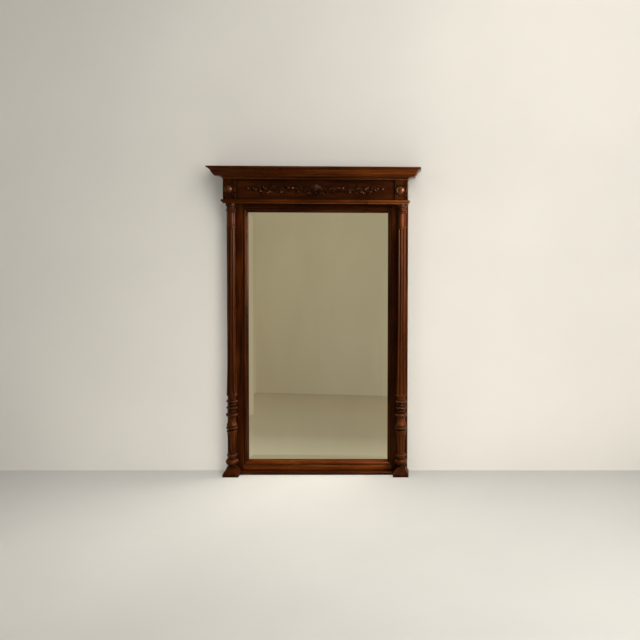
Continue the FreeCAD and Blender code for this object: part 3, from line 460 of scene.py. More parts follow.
def bead(height, base, radius, fullness=0.5):
    """A convex ring on a plain core."""
    return [(base + (radius - base) * max(0.0, 1 - u * u) ** fullness, height * (u + 1) / 2)
            for u in rounded(ROUND_STEPS)]


def cove(height, low, high, depth):
    """A hollow between two radii."""
    return [(low + (high - low) * (u + 1) / 2 - depth * (1 - u * u), height * (u + 1) / 2)
            for u in rounded(ROUND_STEPS)]


def stacked(members):
    """Joins members, foot to head, into one outline."""
    outline, level = [], 0.0
    for member in members:
        outline += [(radius, level + height) for radius, height in member]
        level += member[-1][1]
    return outline, level


NECK_BEAD_SHARE, NECK_BEAD_RISE, NECK_DEPTH = 0.36, 5 * MM, 2.5 * MM


def neck_with_bead(height):
    """Two hollows with a small bead between them."""
    bead_height = height * NECK_BEAD_SHARE
    hollow = cove((height - bead_height) / 2, CORE, CORE, NECK_DEPTH)
    return [hollow, bead(bead_height, CORE, CORE + NECK_BEAD_RISE), hollow]


FOOT = [
    bead(8 * MM, CORE, 22.5 * MM),
    cove(5 * MM, CORE, CORE, 2 * MM),
    bead(34 * MM, CORE, 35 * MM, fullness=0.6),
    cove(8 * MM, CORE, CORE, 2 * MM),
    line(4 * MM, 24 * MM, 24 * MM),
    bead(16 * MM, CORE, 28 * MM),
]
BALUSTER_HEIGHT, BALUSTER_LOW, BALUSTER_HIGH = 119 * MM, 20 * MM, 26 * MM
BALUSTER_FLUTE, BALUSTER_MARGIN = 4.2 * MM, 7 * MM
BELT = [
    bead(13 * MM, 24 * MM, 29.5 * MM),
    cove(5 * MM, 22.5 * MM, 22.5 * MM, 2 * MM),
    bead(17 * MM, 24 * MM, 32 * MM),
    cove(10 * MM, 26.5 * MM, 28.5 * MM, -1.5 * MM),
    cove(46 * MM, 28.5 * MM, 22 * MM, 3.5 * MM),
    bead(18 * MM, 24 * MM, 33 * MM, fullness=0.55),
    *neck_with_bead(24 * MM),
    bead(13 * MM, CORE, 30.5 * MM),
    *neck_with_bead(23 * MM),
    bead(13 * MM, CORE, 31 * MM),
    line(25 * MM, 22.5 * MM, 22.5 * MM),
]
SHAFT_LOW, SHAFT_HIGH = 28.4 * MM, 21.4 * MM
SHAFT_FLARE = 5
SHAFT_MARGIN = 5 * MM
FLUTE_LOW, FLUTE_HIGH = 5.5 * MM, 4.5 * MM
HEAD = [
    bead(8 * MM, 21 * MM, 25 * MM),
    cove(6 * MM, 22 * MM, 20.5 * MM, 0.6 * MM),
    line(60 * MM, 20.5 * MM, 20.8 * MM),
    cove(6 * MM, 20.8 * MM, 23 * MM, 0.6 * MM),
    bead(9 * MM, 23 * MM, 27 * MM),
    bead(11 * MM, 23 * MM, 28.5 * MM),
    cove(12 * MM, 24 * MM, 25 * MM, 1.5 * MM),
    bead(5 * MM, 28 * MM, 30 * MM),
    line(12 * MM, 29.5 * MM, 30 * MM),
]
FLUTES = 8
FLUTE_END = 9 * MM
FLUTE_FULLNESS = 0.7
RIDGE_SHARE = 12 / 45
RIDGE_STEPS, FLUTE_STEPS = 3, 10
SHAFT_RINGS, END_RINGS = 30, 8


def column_turns():
    """Angles round the column, each with its place across a flute from -1 to 1, or None on a ridge."""
    pitch = 2 * math.pi / FLUTES
    ridge, turns = RIDGE_SHARE * pitch, []
    for number in range(FLUTES):
        start = number * pitch - ridge / 2 - math.pi / 2
        turns += [(start + ridge * step / RIDGE_STEPS, None) for step in range(RIDGE_STEPS)]
        turns += [(start + ridge + (pitch - ridge) * step / FLUTE_STEPS, 2 * step / FLUTE_STEPS - 1)
                  for step in range(FLUTE_STEPS)]
    return turns


def flute_levels(height):
    """Heights along a fluted stretch, close together where the flutes end in a round."""
    foot = [FLUTE_END * (1 - math.cos(math.pi / 2 * step / END_RINGS)) for step in range(END_RINGS)]
    middle = [FLUTE_END + (height - 2 * FLUTE_END) * step / SHAFT_RINGS for step in range(SHAFT_RINGS + 1)]
    return foot + middle + [height - level for level in reversed(foot)]


def flute_depth(across, level, height):
    """Share of the full depth at one place of a flute whose ends are round."""
    if across is None:
        return 0.0
    away = max(0.0, 1 - min(level, height - level) / FLUTE_END)
    room = 1 - away * away
    return max(0.0, room - across * across) ** FLUTE_FULLNESS


def column_rings(centre, foot_z, head_z):
    turns = column_turns()
    foot, foot_height = stacked(FOOT)
    belt, belt_height = stacked(BELT)
    head, head_height = stacked(HEAD)
    baluster_z = foot_z + foot_height
    belt_z = baluster_z + BALUSTER_HEIGHT
    shaft_z = belt_z + belt_height
    shaft_height = head_z - head_height - shaft_z
    rings = []

    def ring(level, radius_at):
        spokes = [(turn, radius_at(across)) for turn, across in turns]
        rings.append([Vector((centre.x + radius * math.cos(turn), centre.y + radius * math.sin(turn), level))
                      for turn, radius in spokes])

    def plain(outline, base):
        for radius, height in outline:
            ring(base + height, lambda across, radius=radius: radius)

    def fluted(base, height, margin, radius_of, depth_of):
        inner = height - 2 * margin
        ring(base, lambda across: radius_of(0.0))
        for level in flute_levels(inner):
            share = (margin + level) / height
            ring(base + margin + level, lambda across: radius_of(share)
                 - depth_of(share) * flute_depth(across, level, inner))
        ring(base + height, lambda across: radius_of(1.0))

    plain(foot, foot_z)
    fluted(baluster_z, BALUSTER_HEIGHT, BALUSTER_MARGIN,
           lambda share: BALUSTER_LOW + (BALUSTER_HIGH - BALUSTER_LOW) * share,
           lambda share: BALUSTER_FLUTE)
    plain(belt, belt_z)
    fluted(shaft_z, shaft_height, SHAFT_MARGIN,
           lambda share: SHAFT_HIGH + (SHAFT_LOW - SHAFT_HIGH) * (1 - share) ** SHAFT_FLARE,
           lambda share: FLUTE_LOW + (FLUTE_HIGH - FLUTE_LOW) * share)
    plain(head, head_z - head_height)
    return rings


def make_column(side):
    node = f"{side}_column"
    low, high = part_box(node)
    foot_z, head_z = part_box(f"{side}_plinth")[1].z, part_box("architrave_board")[0].z
    skin = Skin()
    skin.loft(column_rings((low + high) / 2, foot_z, head_z))
    skin.piece(f"{side}_turned_column", COLUMN_WOOD, "column_wood", [node])


# Carving on the frieze, drawn as (along, up, out) from a point on its face; shares of a leaf or
# flower are of its own length, width, rise or radius
BERRY_STEPS, BERRY_TURNS = 7, 14
BERRY_TIP, BERRY_LIFT = 0.35, 0.45
LEAF_STEPS, LEAF_HALF_STEPS = 16, 5
LEAF_TIP, LEAF_SWELL, LEAF_FULLNESS = 0.02, 0.8, 0.75
LOBE_DEPTH = 0.22
LEAF_END_RISE, LEAF_BEND = 0.45, 0.12
RIB_FLOOR, RIB_SLOPE = 0.62, 3.2
LEAF_UNDERCUT, LEAF_SINK = 0.9, 1.2 * MM
STEM_SIDES, STEM_LIFT = 8, 0.5
PETALS, PETAL_ROOT, PETAL_LENGTH, PETAL_WIDTH, PETAL_RISE = 5, 0.15, 0.85, 0.95, 0.42
FLOWER_EYE = 0.30


class Carving(Skin):
    """Closed carved forms on an upright face that looks towards -Y."""

    def __init__(self, origin, side=1):
        super().__init__()
        self.origin = origin
        self.side = side

    def at(self, along, up, out):
        return self.origin + Vector((self.side * along, -out, up))

    def form(self, rings):
        self.loft([[self.at(*point) for point in ring] for ring in rings], self.side < 0)

    def turned(self, centre, outline, turns):
        """A form turned about an axis square to the face; outline is (radius, out)."""
        self.form([[(centre[0] + radius * cosine, centre[1] - radius * sine, out)
                    for cosine, sine in circle(turns)] for radius, out in outline])

    def berry(self, centre, radius):
        steps = BERRY_STEPS + 2 * BERRY_TIP
        turns = [math.pi * (step + BERRY_TIP) / steps for step in range(BERRY_STEPS + 1)]
        outline = [(radius * math.sin(turn), radius * (BERRY_LIFT - math.cos(turn))) for turn in turns]
        self.turned(centre, outline, BERRY_TURNS)

    def leaf(self, root, angle, length, width, rise, lobes=3):
        """A leaf with a grooved rib and a lobed edge, highest half way and bent to one side."""
        direction = Vector((math.cos(angle), math.sin(angle)))
        across = Vector((-direction.y, direction.x))
        rings = []
        for step in range(LEAF_STEPS + 1):
            share = LEAF_TIP + (1 - 2 * LEAF_TIP) * step / LEAF_STEPS
            edge = width / 2 * math.sin(math.pi * share ** LEAF_SWELL) ** LEAF_FULLNESS
            edge *= 1 - LOBE_DEPTH * (0.5 + 0.5 * math.cos(2 * math.pi * lobes * share))
            lift = rise * (LEAF_END_RISE + (1 - LEAF_END_RISE) * math.sin(math.pi * share))
            ring = []
            for part in range(-LEAF_HALF_STEPS, LEAF_HALF_STEPS + 1):
                place = part / LEAF_HALF_STEPS
                groove = RIB_FLOOR + (1 - RIB_FLOOR) * min(1.0, abs(place) * RIB_SLOPE)
                ring.append((place * edge, lift * (1 - place * place) * groove))
            ring += [(hand * edge * LEAF_UNDERCUT, -LEAF_SINK) for hand in (1, -1)]
            spine = Vector(root) + direction * length * share + across * (LEAF_BEND * length * share * share)
            rings.append([(spine.x + across.x * offset, spine.y + across.y * offset, height)
                          for offset, height in reversed(ring)])
        self.form(rings)

    def stem(self, path, radius):
        """A round stem along a path of (along, up) points, a quarter sunk in the face."""
        rings = []
        for number, (along, up) in enumerate(path):
            before, after = path[max(0, number - 1)], path[min(len(path) - 1, number + 1)]
            run = Vector((after[0] - before[0], after[1] - before[1])).normalized()
            rings.append([(along - run.y * radius * cosine, up + run.x * radius * cosine,
                           radius * (STEM_LIFT + sine)) for cosine, sine in circle(STEM_SIDES)])
        self.form(rings)

    def flower(self, centre, radius, turn):
        for number in range(PETALS):
            angle = turn + 2 * math.pi * number / PETALS
            root = (centre[0] + PETAL_ROOT * radius * math.cos(angle),
                    centre[1] + PETAL_ROOT * radius * math.sin(angle))
            self.leaf(root, angle, PETAL_LENGTH * radius, PETAL_WIDTH * radius, PETAL_RISE * radius, lobes=1)
        self.berry(centre, FLOWER_EYE * radius)


# Garland: one half, from the shell outwards; berries and flowers in mm as (along, up, radius)
GARLAND_WAVE, GARLAND_SWING, GARLAND_LAP = 105 * MM, 9 * MM, 10 * MM
GARLAND_STEM, GARLAND_STEPS = 2.1 * MM, 48
LEAVES, LEAF_START = 15, 0.3
LEAF_LEAN, LEAF_LENGTH, LEAF_WIDTH, LEAF_RISE = (38, 68), (22, 29), (13, 16), 9 * MM
BERRIES = [(125, 9, 6.0), (149, 9, 5.5), (188, -15, 5.5), (251, -12, 5.5), (262, -18, 5.0),
           (275, 4, 6.0), (285, 11, 5.5), (302, -10, 5.5), (327, -1, 6.0), (340, 6, 4.5)]
FLOWERS = [(94, 8, 20), (188, 3, 16), (236, 9, 18), (314, 12, 16)]
BUD_REACH, BUD_UP, BUD_RADIUS = 34 * MM, 5 * MM, 5.5 * MM
BUD_ANGLES, BUD_LEAF = (150, 180, 210), (20 * MM, 9 * MM, 5 * MM)


def garland_line(along):
    return GARLAND_SWING * math.sin(2 * math.pi * along / GARLAND_WAVE)


def make_garland(side):
    node = f"{side}_garland"
    low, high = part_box(node)
    frieze_low, frieze_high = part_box("frieze_board")
    shell_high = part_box("frieze_cartouche")[1]
    near, far = shell_high.x - GARLAND_LAP, max(abs(low.x), abs(high.x))
    origin = Vector((0.0, frieze_low.y, (frieze_low.z + frieze_high.z) / 2))
    carving = Carving(origin, SIDES[side])
    places = [near + (far - near) * step / GARLAND_STEPS for step in range(GARLAND_STEPS + 1)]
    carving.stem([(along, garland_line(along)) for along in places], GARLAND_STEM)
    chooser = random.Random(SEED)
    for number in range(LEAVES):
        along = near + (far - near) * (number + LEAF_START) / LEAVES
        up = 1 if number % 2 else -1
        angle = up * math.radians(chooser.uniform(*LEAF_LEAN))
        length = chooser.uniform(*LEAF_LENGTH) * MM
        width = chooser.uniform(*LEAF_WIDTH) * MM
        carving.leaf((along, garland_line(along)), angle, length, width, LEAF_RISE)
    berries = Carving(origin, SIDES[side])
    for along, up, radius in BERRIES:
        berries.berry((along * MM, up * MM), radius * MM)
    for along, up, radius in FLOWERS:
        carving.flower((along * MM, up * MM), radius * MM, along)
    bud = (far + BUD_REACH, BUD_UP)
    for angle in BUD_ANGLES:
        carving.leaf(bud, math.radians(angle), *BUD_LEAF, lobes=1)
    berries.berry(bud, BUD_RADIUS)
    berries.piece(f"{side}_garland_berries", HIGHLIGHT_PAINTED_WOOD, "carved_wood")
    carving.piece(f"{side}_garland_carving", CARVED_WOOD, "carved_wood", [node])


# Shell: shares are of the half width, the half height or the relief of its field
RIBS, RIB_STEPS, SHELL_STEPS = 9, 8, 12
FAN = math.radians(150)
SHELL_RELIEF, SHELL_HINGE, SHELL_RISE, SHELL_SPREAD = 0.65, 0.55, 1.45, 0.80
SHELL_TIP, SHELL_SINK = 0.06, 1.0 * MM
SCALLOP_DEPTH, SCALLOP_FULLNESS = 0.10, 0.5
CROWN_FLOOR, CROWN_START, CROWN_RUN = 0.35, 0.12, 0.80
GROOVE_FLOOR, GROOVE_FULLNESS = 0.62, 0.6
SCROLL_PLACE, SCROLL_DROP, SCROLL_STEPS, SCROLL_TURN = 0.74, 2 * MM, 39, 2.6 * math.pi
SCROLL_RADIUS, SCROLL_CLOSING, SCROLL_STEM, SCROLL_EYE = 13, 9.5, 3.0 * MM, 4.6 * MM
SHELL_LEAF_ANGLES, SHELL_LEAF_ROOT = (205, 250), 5 * MM
SHELL_LEAF_LENGTH, SHELL_LEAF_LOSS, SHELL_LEAF_WIDTH, SHELL_LEAF_RISE = 30, 6, 13 * MM, 6 * MM
SHELL_BERRY_UP, SHELL_BERRY = 1 * MM, 7 * MM


def make_shell():
    """Ribbed shell between two scrolls, with leaves under it."""
    low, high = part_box("frieze_cartouche")
    face_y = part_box("frieze_board")[0].y
    half_width = (high.x - low.x) / 2
    half_height = (high.z - low.z) / 2
    carving = Carving(Vector(((low.x + high.x) / 2, face_y, (low.z + high.z) / 2)))
    relief = SHELL_RELIEF * (face_y - low.y)
    hinge = -SHELL_HINGE * half_height
    rise, spread = SHELL_RISE * half_height, SHELL_SPREAD * half_width
    turns = RIBS * RIB_STEPS
    rings = []
    for step in range(SHELL_STEPS + 1):
        share = SHELL_TIP + (1 - SHELL_TIP) * step / SHELL_STEPS
        bulge = math.sin(math.pi * min(1.0, CROWN_START + CROWN_RUN * share))
        crown = relief * (CROWN_FLOOR + (1 - CROWN_FLOOR) * bulge)
        top, bottom = [], []
        for part in range(turns + 1):
            angle = FAN * (part / turns - 0.5)
            ripple = 0.5 - 0.5 * math.cos(2 * math.pi * RIBS * part / turns)
            reach = share * (1 - SCALLOP_DEPTH + SCALLOP_DEPTH * ripple ** SCALLOP_FULLNESS * share)
            along, up = spread * reach * math.sin(angle), hinge + rise * reach * math.cos(angle)
            groove = GROOVE_FLOOR + (1 - GROOVE_FLOOR) * ripple ** GROOVE_FULLNESS
            top.append((along, up, crown * groove))
            bottom.append((along, up, -SHELL_SINK))
        rings.append(top + list(reversed(bottom)))
    carving.form(rings)
    for hand in (-1, 1):
        eye = (hand * SCROLL_PLACE * half_width, hinge - SCROLL_DROP)
        scroll = []
        for step in range(SCROLL_STEPS + 1):
            turn = step / SCROLL_STEPS * SCROLL_TURN + math.pi / 2
            radius = (SCROLL_RADIUS - SCROLL_CLOSING * step / SCROLL_STEPS) * MM
            scroll.append((eye[0] + hand * radius * math.cos(turn), eye[1] + radius * math.sin(turn)))
        carving.stem(scroll, SCROLL_STEM)
        carving.berry(eye, SCROLL_EYE)
        for number, angle in enumerate(SHELL_LEAF_ANGLES):
            lean = math.radians(angle) if hand < 0 else math.pi - math.radians(angle)
            length = (SHELL_LEAF_LENGTH - SHELL_LEAF_LOSS * number) * MM
            carving.leaf((hand * SHELL_LEAF_ROOT, hinge), lean, length, SHELL_LEAF_WIDTH, SHELL_LEAF_RISE)
    carving.berry((0.0, hinge + SHELL_BERRY_UP), SHELL_BERRY)
    carving.piece("shell_carving", SHELL_WOOD, "carved_wood", ["frieze_cartouche"])


# Rosettes: a rounded ring round a sunk field, and a dome on a low step
ROSETTE_SINK, RING_FOOT, RING_INSET, RING_HALF, RING_RISE = 1 * MM, 2.2 * MM, 0.5 * MM, 3.2 * MM, 4.6 * MM
FIELD = [(23 * MM, 1.4 * MM), (20.5 * MM, 0.4 * MM), (2 * MM, 0.4 * MM)]
ROSETTE_TURNS, BOSS_TURNS, DOME_STEPS = 64, 48, 9
BOSS_RADIUS, BOSS_SINK, BOSS_STEP = 18 * MM, 0.5 * MM, 1.6 * MM
DOME_RADIUS, DOME_RISE, DOME_TIP = 15 * MM, 9.5 * MM, 0.6 * MM
CORNER_GAP, CORNER_LEAF = 1 * MM, (17 * MM, 11 * MM, 3.5 * MM)


def make_rosette(side):
    """Turned ring and dome on the frieze block, with four carved corners."""
    low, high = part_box(f"{side}_frieze_block")
    ring_low, ring_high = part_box("rosettes")
    radius = (ring_high.z - ring_low.z) / 2
    origin = Vector(((low.x + high.x) / 2, low.y, (low.z + high.z) / 2))
    carving = Carving(origin, SIDES[side])
    outline = [(radius, -ROSETTE_SINK), (radius, RING_FOOT)]
    outline += [(radius - RING_INSET - RING_HALF * (1 + u), RING_FOOT + RING_RISE * math.sqrt(1 - u * u))
                for u in rounded(ROUND_STEPS)]
    carving.turned((0.0, 0.0), outline + FIELD, ROSETTE_TURNS)
    boss = Carving(origin, SIDES[side])
    outline = [(BOSS_RADIUS, -BOSS_SINK), (BOSS_RADIUS, BOSS_STEP), (DOME_RADIUS, BOSS_STEP)]
    turns = [math.pi / 2 * step / DOME_STEPS for step in range(1, DOME_STEPS)]
    outline += [(DOME_RADIUS * math.cos(turn), BOSS_STEP + DOME_RISE * math.sin(turn)) for turn in turns]
    outline.append((DOME_TIP, BOSS_STEP + DOME_RISE))
    boss.turned((0.0, 0.0), outline, BOSS_TURNS)
    boss.piece(f"{side}_rosette_boss", HIGHLIGHT_PAINTED_WOOD, "carved_wood")
    half_width, half_height = (high.x - low.x) / 2, (high.z - low.z) / 2
    lean = math.atan2(half_height - radius, half_width - radius / 2)
    for turn in (lean, math.pi - lean, math.pi + lean, -lean):
        root = ((radius + CORNER_GAP) * math.cos(turn), (radius + CORNER_GAP) * math.sin(turn))
        carving.leaf(root, turn, *CORNER_LEAF)
    carving.piece(f"{side}_rosette_carving", CARVED_WOOD, "carved_wood", ["rosettes"])


# Back: nails in the boards and screws in the hanger plates; head outlines are (radius, out)
NAIL_HEAD = [(3.2 * MM, -1.0 * MM), (3.2 * MM, 0.2 * MM), (2.7 * MM, 0.7 * MM), (1.5 * MM, 1.0 * MM),
             (0.3 * MM, 1.1 * MM)]
NAIL_TURNS, NAIL_INSET, NAIL_SHARES = 12, 7 * MM, (0.18, 0.5, 0.82)
PLATE_HALF, SCREW_INSET = 17 * MM, 6 * MM
SCREW_RADIUS, SCREW_TURNS, SLOT_HALF, ARC_STEPS = 3.8 * MM, 24, 0.55 * MM, 12
SCREW_BASE = [(SCREW_RADIUS, -0.4 * MM), (SCREW_RADIUS, 0.35 * MM)]
SCREW_HALF_HEAD = [(1.0, 0.2 * MM), (1.0, 0.7 * MM), (0.8, 1.1 * MM)]


def back_disc(skin, x, y, z, outline, turns):
    """A small turned head on a face that looks towards +Y."""
    skin.loft([[Vector((x - radius * cosine, y + out, z + radius * sine)) for cosine, sine in circle(turns)]
               for radius, out in outline])


def make_nails():
    skin = Skin()
    for name in sorted(nodes):
        if not name.startswith("back_board"):
            continue
        low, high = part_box(name)
        for x in (low.x + NAIL_INSET, high.x - NAIL_INSET):
            for share in NAIL_SHARES:
                back_disc(skin, x, high.y, low.z + (high.z - low.z) * share, NAIL_HEAD, NAIL_TURNS)
    skin.piece("back_board_nails", STEEL, "hanger_steel")


def make_screws():
    """Slotted screw heads, two to a hanger plate."""
    skin = Skin()
    low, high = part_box("hanger_plates")
    reach = math.asin(SLOT_HALF / SCREW_RADIUS)
    arc = [reach + (math.pi - 2 * reach) * step / ARC_STEPS for step in range(ARC_STEPS + 1)]
    for side in SIDES.values():
        x = side * (high.x - PLATE_HALF)
        for z in (low.z + SCREW_INSET, high.z - SCREW_INSET):
            back_disc(skin, x, high.y, z, SCREW_BASE, SCREW_TURNS)
            for hand in (-1, 1):
                rings = []
                for size, out in SCREW_HALF_HEAD:
                    radius = size * SCREW_RADIUS
                    rings.append([Vector((x - radius * math.cos(turn), high.y + out,
                                          z + hand * max(SLOT_HALF, radius * math.sin(turn))))
                                  for turn in arc])
                skin.loft(rings, hand < 0)
    skin.piece("hanger_screws", STEEL, "hanger_steel")


for each_side in SIDES:
    make_column(each_side)
    make_garland(each_side)
    make_rosette(each_side)
make_shell()
make_nails()
make_screws()


# Stage: pale wall and floor, and a quiet room that only the polish and the plate reflect
WALL_GAP = 1 * MM
WALL_WHITE = (0.75, 0.73, 0.68)
FLOOR_WHITE = (0.74, 0.727, 0.685)
STAGE_REACH = 7.0
CLOUD_SCALE, CLOUD_LEVELS = 0.9, (0.95, 1.03)
PLASTER_SCALE, PLASTER_STRENGTH, PLASTER_DEPTH = 60.0, 0.08, 2 * MM
PAINT_ROUGHNESS, PAINT_SPECULAR = 0.9, 0.1


def pale_paint(name, colour, one_sided):
    graph = Graph(name)
    cloud = graph.noise(even(CLOUD_SCALE), detail=4.0)
    plaster = graph.noise(even(PLASTER_SCALE), detail=5.0)
    tones = [tuple(level * part for part in colour) for level in CLOUD_LEVELS]
    graph.bump(plaster, PLASTER_STRENGTH, PLASTER_DEPTH)
    material = graph.finish({"Base Color": graph.ramp(cloud, list(zip(MID_PLACES, tones))),
                             "Roughness": PAINT_ROUGHNESS, "Specular IOR Level": PAINT_SPECULAR})
    if one_sided:
        behind = graph.add("NewGeometry", {}, {}).outputs["Backfacing"]
        clear = graph.add("BsdfTransparent", {}, {}).outputs["BSDF"]
        choice = graph.add("MixShader", {}, {0: behind, 1: graph.shader.outputs["BSDF"], 2: clear})
        graph.feed(graph.output.inputs["Surface"], choice.outputs["Shader"])
    return material


CORNER_REACH = 0.7
CORNER_SHADE = (0.93, 0.90, 0.86)
ROOM_CLOUD_SCALE, ROOM_CLOUD_LEVELS = 1.1, (0.97, 1.03)


def glow(name, along, stops, corner=even(1.0)):
    """Even light of a far surface: (place in metres, colour) along one axis, shaded to its corner."""
    graph = Graph(name)
    low, high = stops[0][0], stops[-1][0]
    axes = graph.add("SeparateXYZ", {}, {"Vector": graph.place}).outputs
    shades = [((spot - low) / (high - low), colour) for spot, colour in stops]
    colour = graph.ramp(graph.span(axes[along], (low, high), (0.0, 1.0)), shades)
    cloud = graph.noise(even(ROOM_CLOUD_SCALE), detail=3.0, distortion=0.4)
    colour = graph.shade(colour, cloud, MID_PLACES, ROOM_CLOUD_LEVELS)
    corner_shade = graph.ramp(axes["X"], [(0.0, corner), (CORNER_REACH, even(1.0))])
    colour = graph.mix("MULTIPLY", 1.0, colour, corner_shade)
    lamp = graph.add("Emission", {}, {"Color": colour, "Strength": 1.0})
    graph.feed(graph.output.inputs["Surface"], lamp.outputs["Emission"])
    return graph.material


def panel(name, corner, first_side, second_side, material):
    """A rectangle of the stage, from one corner and its two sides."""
    start, first, second = Vector(corner), Vector(first_side), Vector(second_side)
    corners = [start, start + first, start + first + second, start + second]
    mesh = bpy.data.meshes.new(name)
    mesh.from_pydata(corners, [], [tuple(range(len(corners)))])
    mesh.materials.append(material)
    made = bpy.data.objects.new(name, mesh)
    bpy.context.scene.collection.objects.link(made)
    return made


wall_y = cad_box[1].y + WALL_GAP
wall = panel("wall", (-STAGE_REACH, wall_y, 0), (2 * STAGE_REACH, 0, 0), (0, 0, STAGE_REACH),
             pale_paint("wall_paint", WALL_WHITE, True))
wall.visible_diffuse = False
wall.visible_shadow = False
floor = panel("floor", (-STAGE_REACH, -STAGE_REACH, 0), (2 * STAGE_REACH, 0, 0), (0, 2 * STAGE_REACH, 0),
              pale_paint("floor_paint", FLOOR_WHITE, False))

ROOM_TURN = math.radians(6.3)
ROOM_CORNER = Vector((-0.800, -1.948, 1 * MM))
ROOM_WIDTH, ROOM_DEPTH, ROOM_HEIGHT = 5.0, 1.9, 4.0
WALL_TONES = [(0.0, (0.335, 0.277, 0.172)), (0.36, (0.360, 0.304, 0.190)), (0.9, (0.386, 0.334, 0.205)),
              (ROOM_HEIGHT, (0.386, 0.334, 0.205))]
SIDE_TONES = [(0.0, (0.345, 0.290, 0.172)), (0.45, (0.355, 0.298, 0.178)), (0.9, (0.425, 0.345, 0.213)),
              (ROOM_DEPTH, (0.435, 0.355, 0.220))]
WINDOW_CORNER, WINDOW_WIDTH, WINDOW_HEIGHT = (2.00, 0.02, 0.90), 0.80, 1.50
WINDOW_TONES = [(0.9, (22.0, 21.0, 19.2)), (2.4, (28.0, 26.8, 24.6))]
FLOOR_TONES = [(0.0, (0.262, 0.208, 0.124)), (0.10, (0.285, 0.227, 0.132)), (0.23, (0.305, 0.243, 0.140)),
               (0.88, (0.328, 0.276, 0.165)), (1.20, (0.352, 0.292, 0.184)), (1.40, (0.417, 0.361, 0.230)),
               (1.68, (0.497, 0.441, 0.290)), (1.75, (0.395, 0.342, 0.212)),
               (ROOM_DEPTH, (0.355, 0.308, 0.190))]
ROOM = {
    "room_back": ((0, 0, 0), (ROOM_WIDTH, 0, 0), (0, 0, ROOM_HEIGHT),
                  glow("room_back_light", "Z", WALL_TONES, CORNER_SHADE)),
    "room_side": ((0, ROOM_DEPTH, 0), (0, -ROOM_DEPTH, 0), (0, 0, ROOM_HEIGHT),
                  glow("room_side_light", "Y", SIDE_TONES)),
    "room_window": (WINDOW_CORNER, (WINDOW_WIDTH, 0, 0), (0, 0, WINDOW_HEIGHT),
                    glow("window_light", "Z", WINDOW_TONES)),
    "room_floor": ((0, 0, 0), (ROOM_WIDTH, 0, 0), (0, ROOM_DEPTH, 0),
                   glow("room_floor_light", "Y", FLOOR_TONES)),
}
for name, shape_and_light in ROOM.items():
    part = panel(name, *shape_and_light)
    part.matrix_world = Matrix.Translation(ROOM_CORNER) @ Matrix.Rotation(ROOM_TURN, 4, "Z")
    part.visible_camera = False
    part.visible_diffuse = False
    part.visible_transmission = False
    part.visible_volume_scatter = False
    part.visible_shadow = False


# Light: a large soft lamp high on the right for everything, one on the right and one behind for the
# object alone, and four washes for the wall and floor alone
def linked(name, surfaces, state="INCLUDE"):
    """A set of surfaces that a lamp lights alone, or spares."""
    made = bpy.data.collections.new(name)
    for surface in surfaces:
        made.objects.link(surface)
    for link in made.collection_objects:
        link.light_linking.link_state = state
    return made


def soft_lamp(name, place, target, size, watts, colour, receivers=None, spread=180):
    """A rectangular lamp at a place, aimed at a target, with its spread in degrees."""
    lamp = bpy.data.lights.new(name, "AREA")
    lamp.shape = "RECTANGLE"
    lamp.size, lamp.size_y = size
    lamp.energy = watts
    lamp.color = colour
    lamp.spread = math.radians(spread)
    made = bpy.data.objects.new(name, lamp)
    made.location = place
    made.rotation_euler = (Vector(target) - Vector(place)).to_track_quat("-Z", "Y").to_euler()
    bpy.context.scene.collection.objects.link(made)
    if receivers:
        made.light_linking.receiver_collection = receivers


KEY_COLOUR = (1.0, 0.965, 0.91)
SIDE_COLOUR = (1.0, 0.975, 0.94)
WASH_COLOUR = (1.0, 0.97, 0.925)
stage_surfaces = linked("stage_surfaces", (wall, floor))
floor_alone = linked("floor_alone", (floor,))
spared_surfaces = linked("spared_surfaces", (wall, floor), "EXCLUDE")
soft_lamp("key_lamp", (1.7, -2.8, 3.5), (0.1, 0.0, 0.9), (2.6, 2.0), 72.0, KEY_COLOUR)
soft_lamp("side_lamp", (1.65, -0.95, 1.6), (0.45, 0.0, 1.1), (0.6, 1.5), 52.0, SIDE_COLOUR, spared_surfaces)
soft_lamp("left_wash", (-2.6, -3.0, 2.0), (-0.9, 0.0, 0.8), (2.0, 2.0), 22.0, WASH_COLOUR, stage_surfaces)
soft_lamp("right_wash", (1.9, -2.8, 1.7), (0.9, 0.0, 1.2), (1.4, 1.6), 43.0, WASH_COLOUR, stage_surfaces)
soft_lamp("low_wash", (0.2, -3.5, 2.6), (0.1, 0.0, 0.0), (3.0, 0.8), 4.5, WASH_COLOUR, stage_surfaces,
          spread=40)
soft_lamp("floor_wash", (0.0, -0.5, 3.2), (0.0, -0.5, 0.0), (4.0, 1.0), 6.0, WASH_COLOUR, floor_alone,
          spread=80)
soft_lamp("back_lamp", (-0.8, 2.4, 1.9), (0.0, 0.0, 0.9), (1.6, 1.6), 40.0, WASH_COLOUR, spared_surfaces)

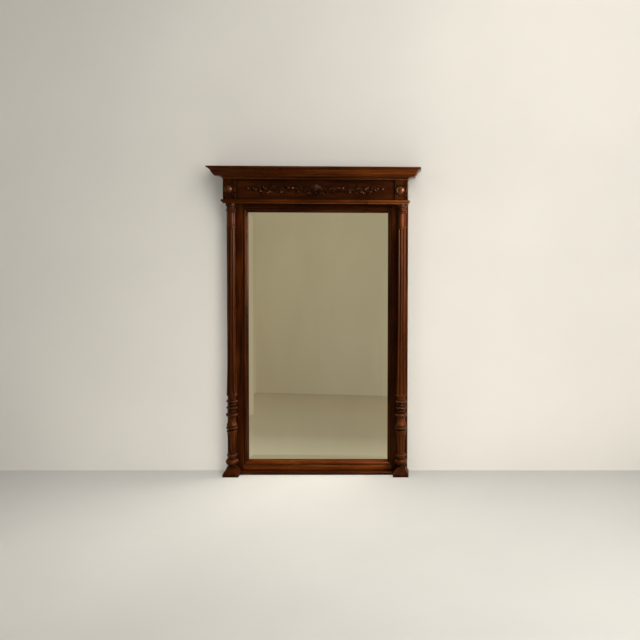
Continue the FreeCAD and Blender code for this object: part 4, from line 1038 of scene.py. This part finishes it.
# Surroundings: dim even air, and a pale backdrop where the stage ends
AIR_COLOUR, AIR_STRENGTH = (1.0, 0.985, 0.96, 1.0), 0.11
BACKDROP_COLOUR = (0.80, 0.785, 0.75, 1.0)
world = bpy.data.worlds.new("studio")
bpy.context.scene.world = world
world.use_nodes = True
world_nodes, world_links = world.node_tree.nodes, world.node_tree.links
air = world_nodes["Background"]
air.inputs["Color"].default_value = AIR_COLOUR
air.inputs["Strength"].default_value = AIR_STRENGTH
backdrop = world_nodes.new("ShaderNodeBackground")
backdrop.inputs["Color"].default_value = BACKDROP_COLOUR
seen = world_nodes.new("ShaderNodeLightPath")
choice = world_nodes.new("ShaderNodeMixShader")
shown = seen.outputs["Is Camera Ray"]
for kind in ("Is Transmission Ray", "Is Glossy Ray"):
    either = world_nodes.new("ShaderNodeMath")
    either.operation = "MAXIMUM"
    world_links.new(shown, either.inputs[0])
    world_links.new(seen.outputs[kind], either.inputs[1])
    shown = either.outputs["Value"]
world_links.new(shown, choice.inputs[0])
world_links.new(air.outputs["Background"], choice.inputs[1])
world_links.new(backdrop.outputs["Background"], choice.inputs[2])
world_links.new(choice.outputs["Shader"], world_nodes["World Output"].inputs["Surface"])

# Camera, as the photograph was taken: a little right of the mirror and nearly level
CAMERA_PLACE = (0.6200, -4.2538, 1.4193)
CAMERA_PITCH, CAMERA_ROLL, CAMERA_YAW = -0.0351, 0.0053, -0.0170
IMAGE_SIZE = 640
FOCAL_PIXELS = 769.0
AXIS_PIXEL = (441.5, 249.1)
SENSOR_WIDTH = 36.0

lens = bpy.data.cameras.new("camera")
lens.sensor_width = SENSOR_WIDTH
lens.lens = FOCAL_PIXELS / IMAGE_SIZE * SENSOR_WIDTH
lens.shift_x = (IMAGE_SIZE / 2 - AXIS_PIXEL[0]) / IMAGE_SIZE
lens.shift_y = (AXIS_PIXEL[1] - IMAGE_SIZE / 2) / IMAGE_SIZE
camera = bpy.data.objects.new("camera", lens)
camera.matrix_world = (Matrix.Translation(CAMERA_PLACE) @ Matrix.Rotation(CAMERA_YAW, 4, "Z")
                       @ Matrix.Rotation(math.pi / 2 + CAMERA_PITCH, 4, "X")
                       @ Matrix.Rotation(CAMERA_ROLL, 4, "Z"))
bpy.context.scene.collection.objects.link(camera)
bpy.context.scene.camera = camera
bpy.context.scene.view_settings.view_transform = "Standard"
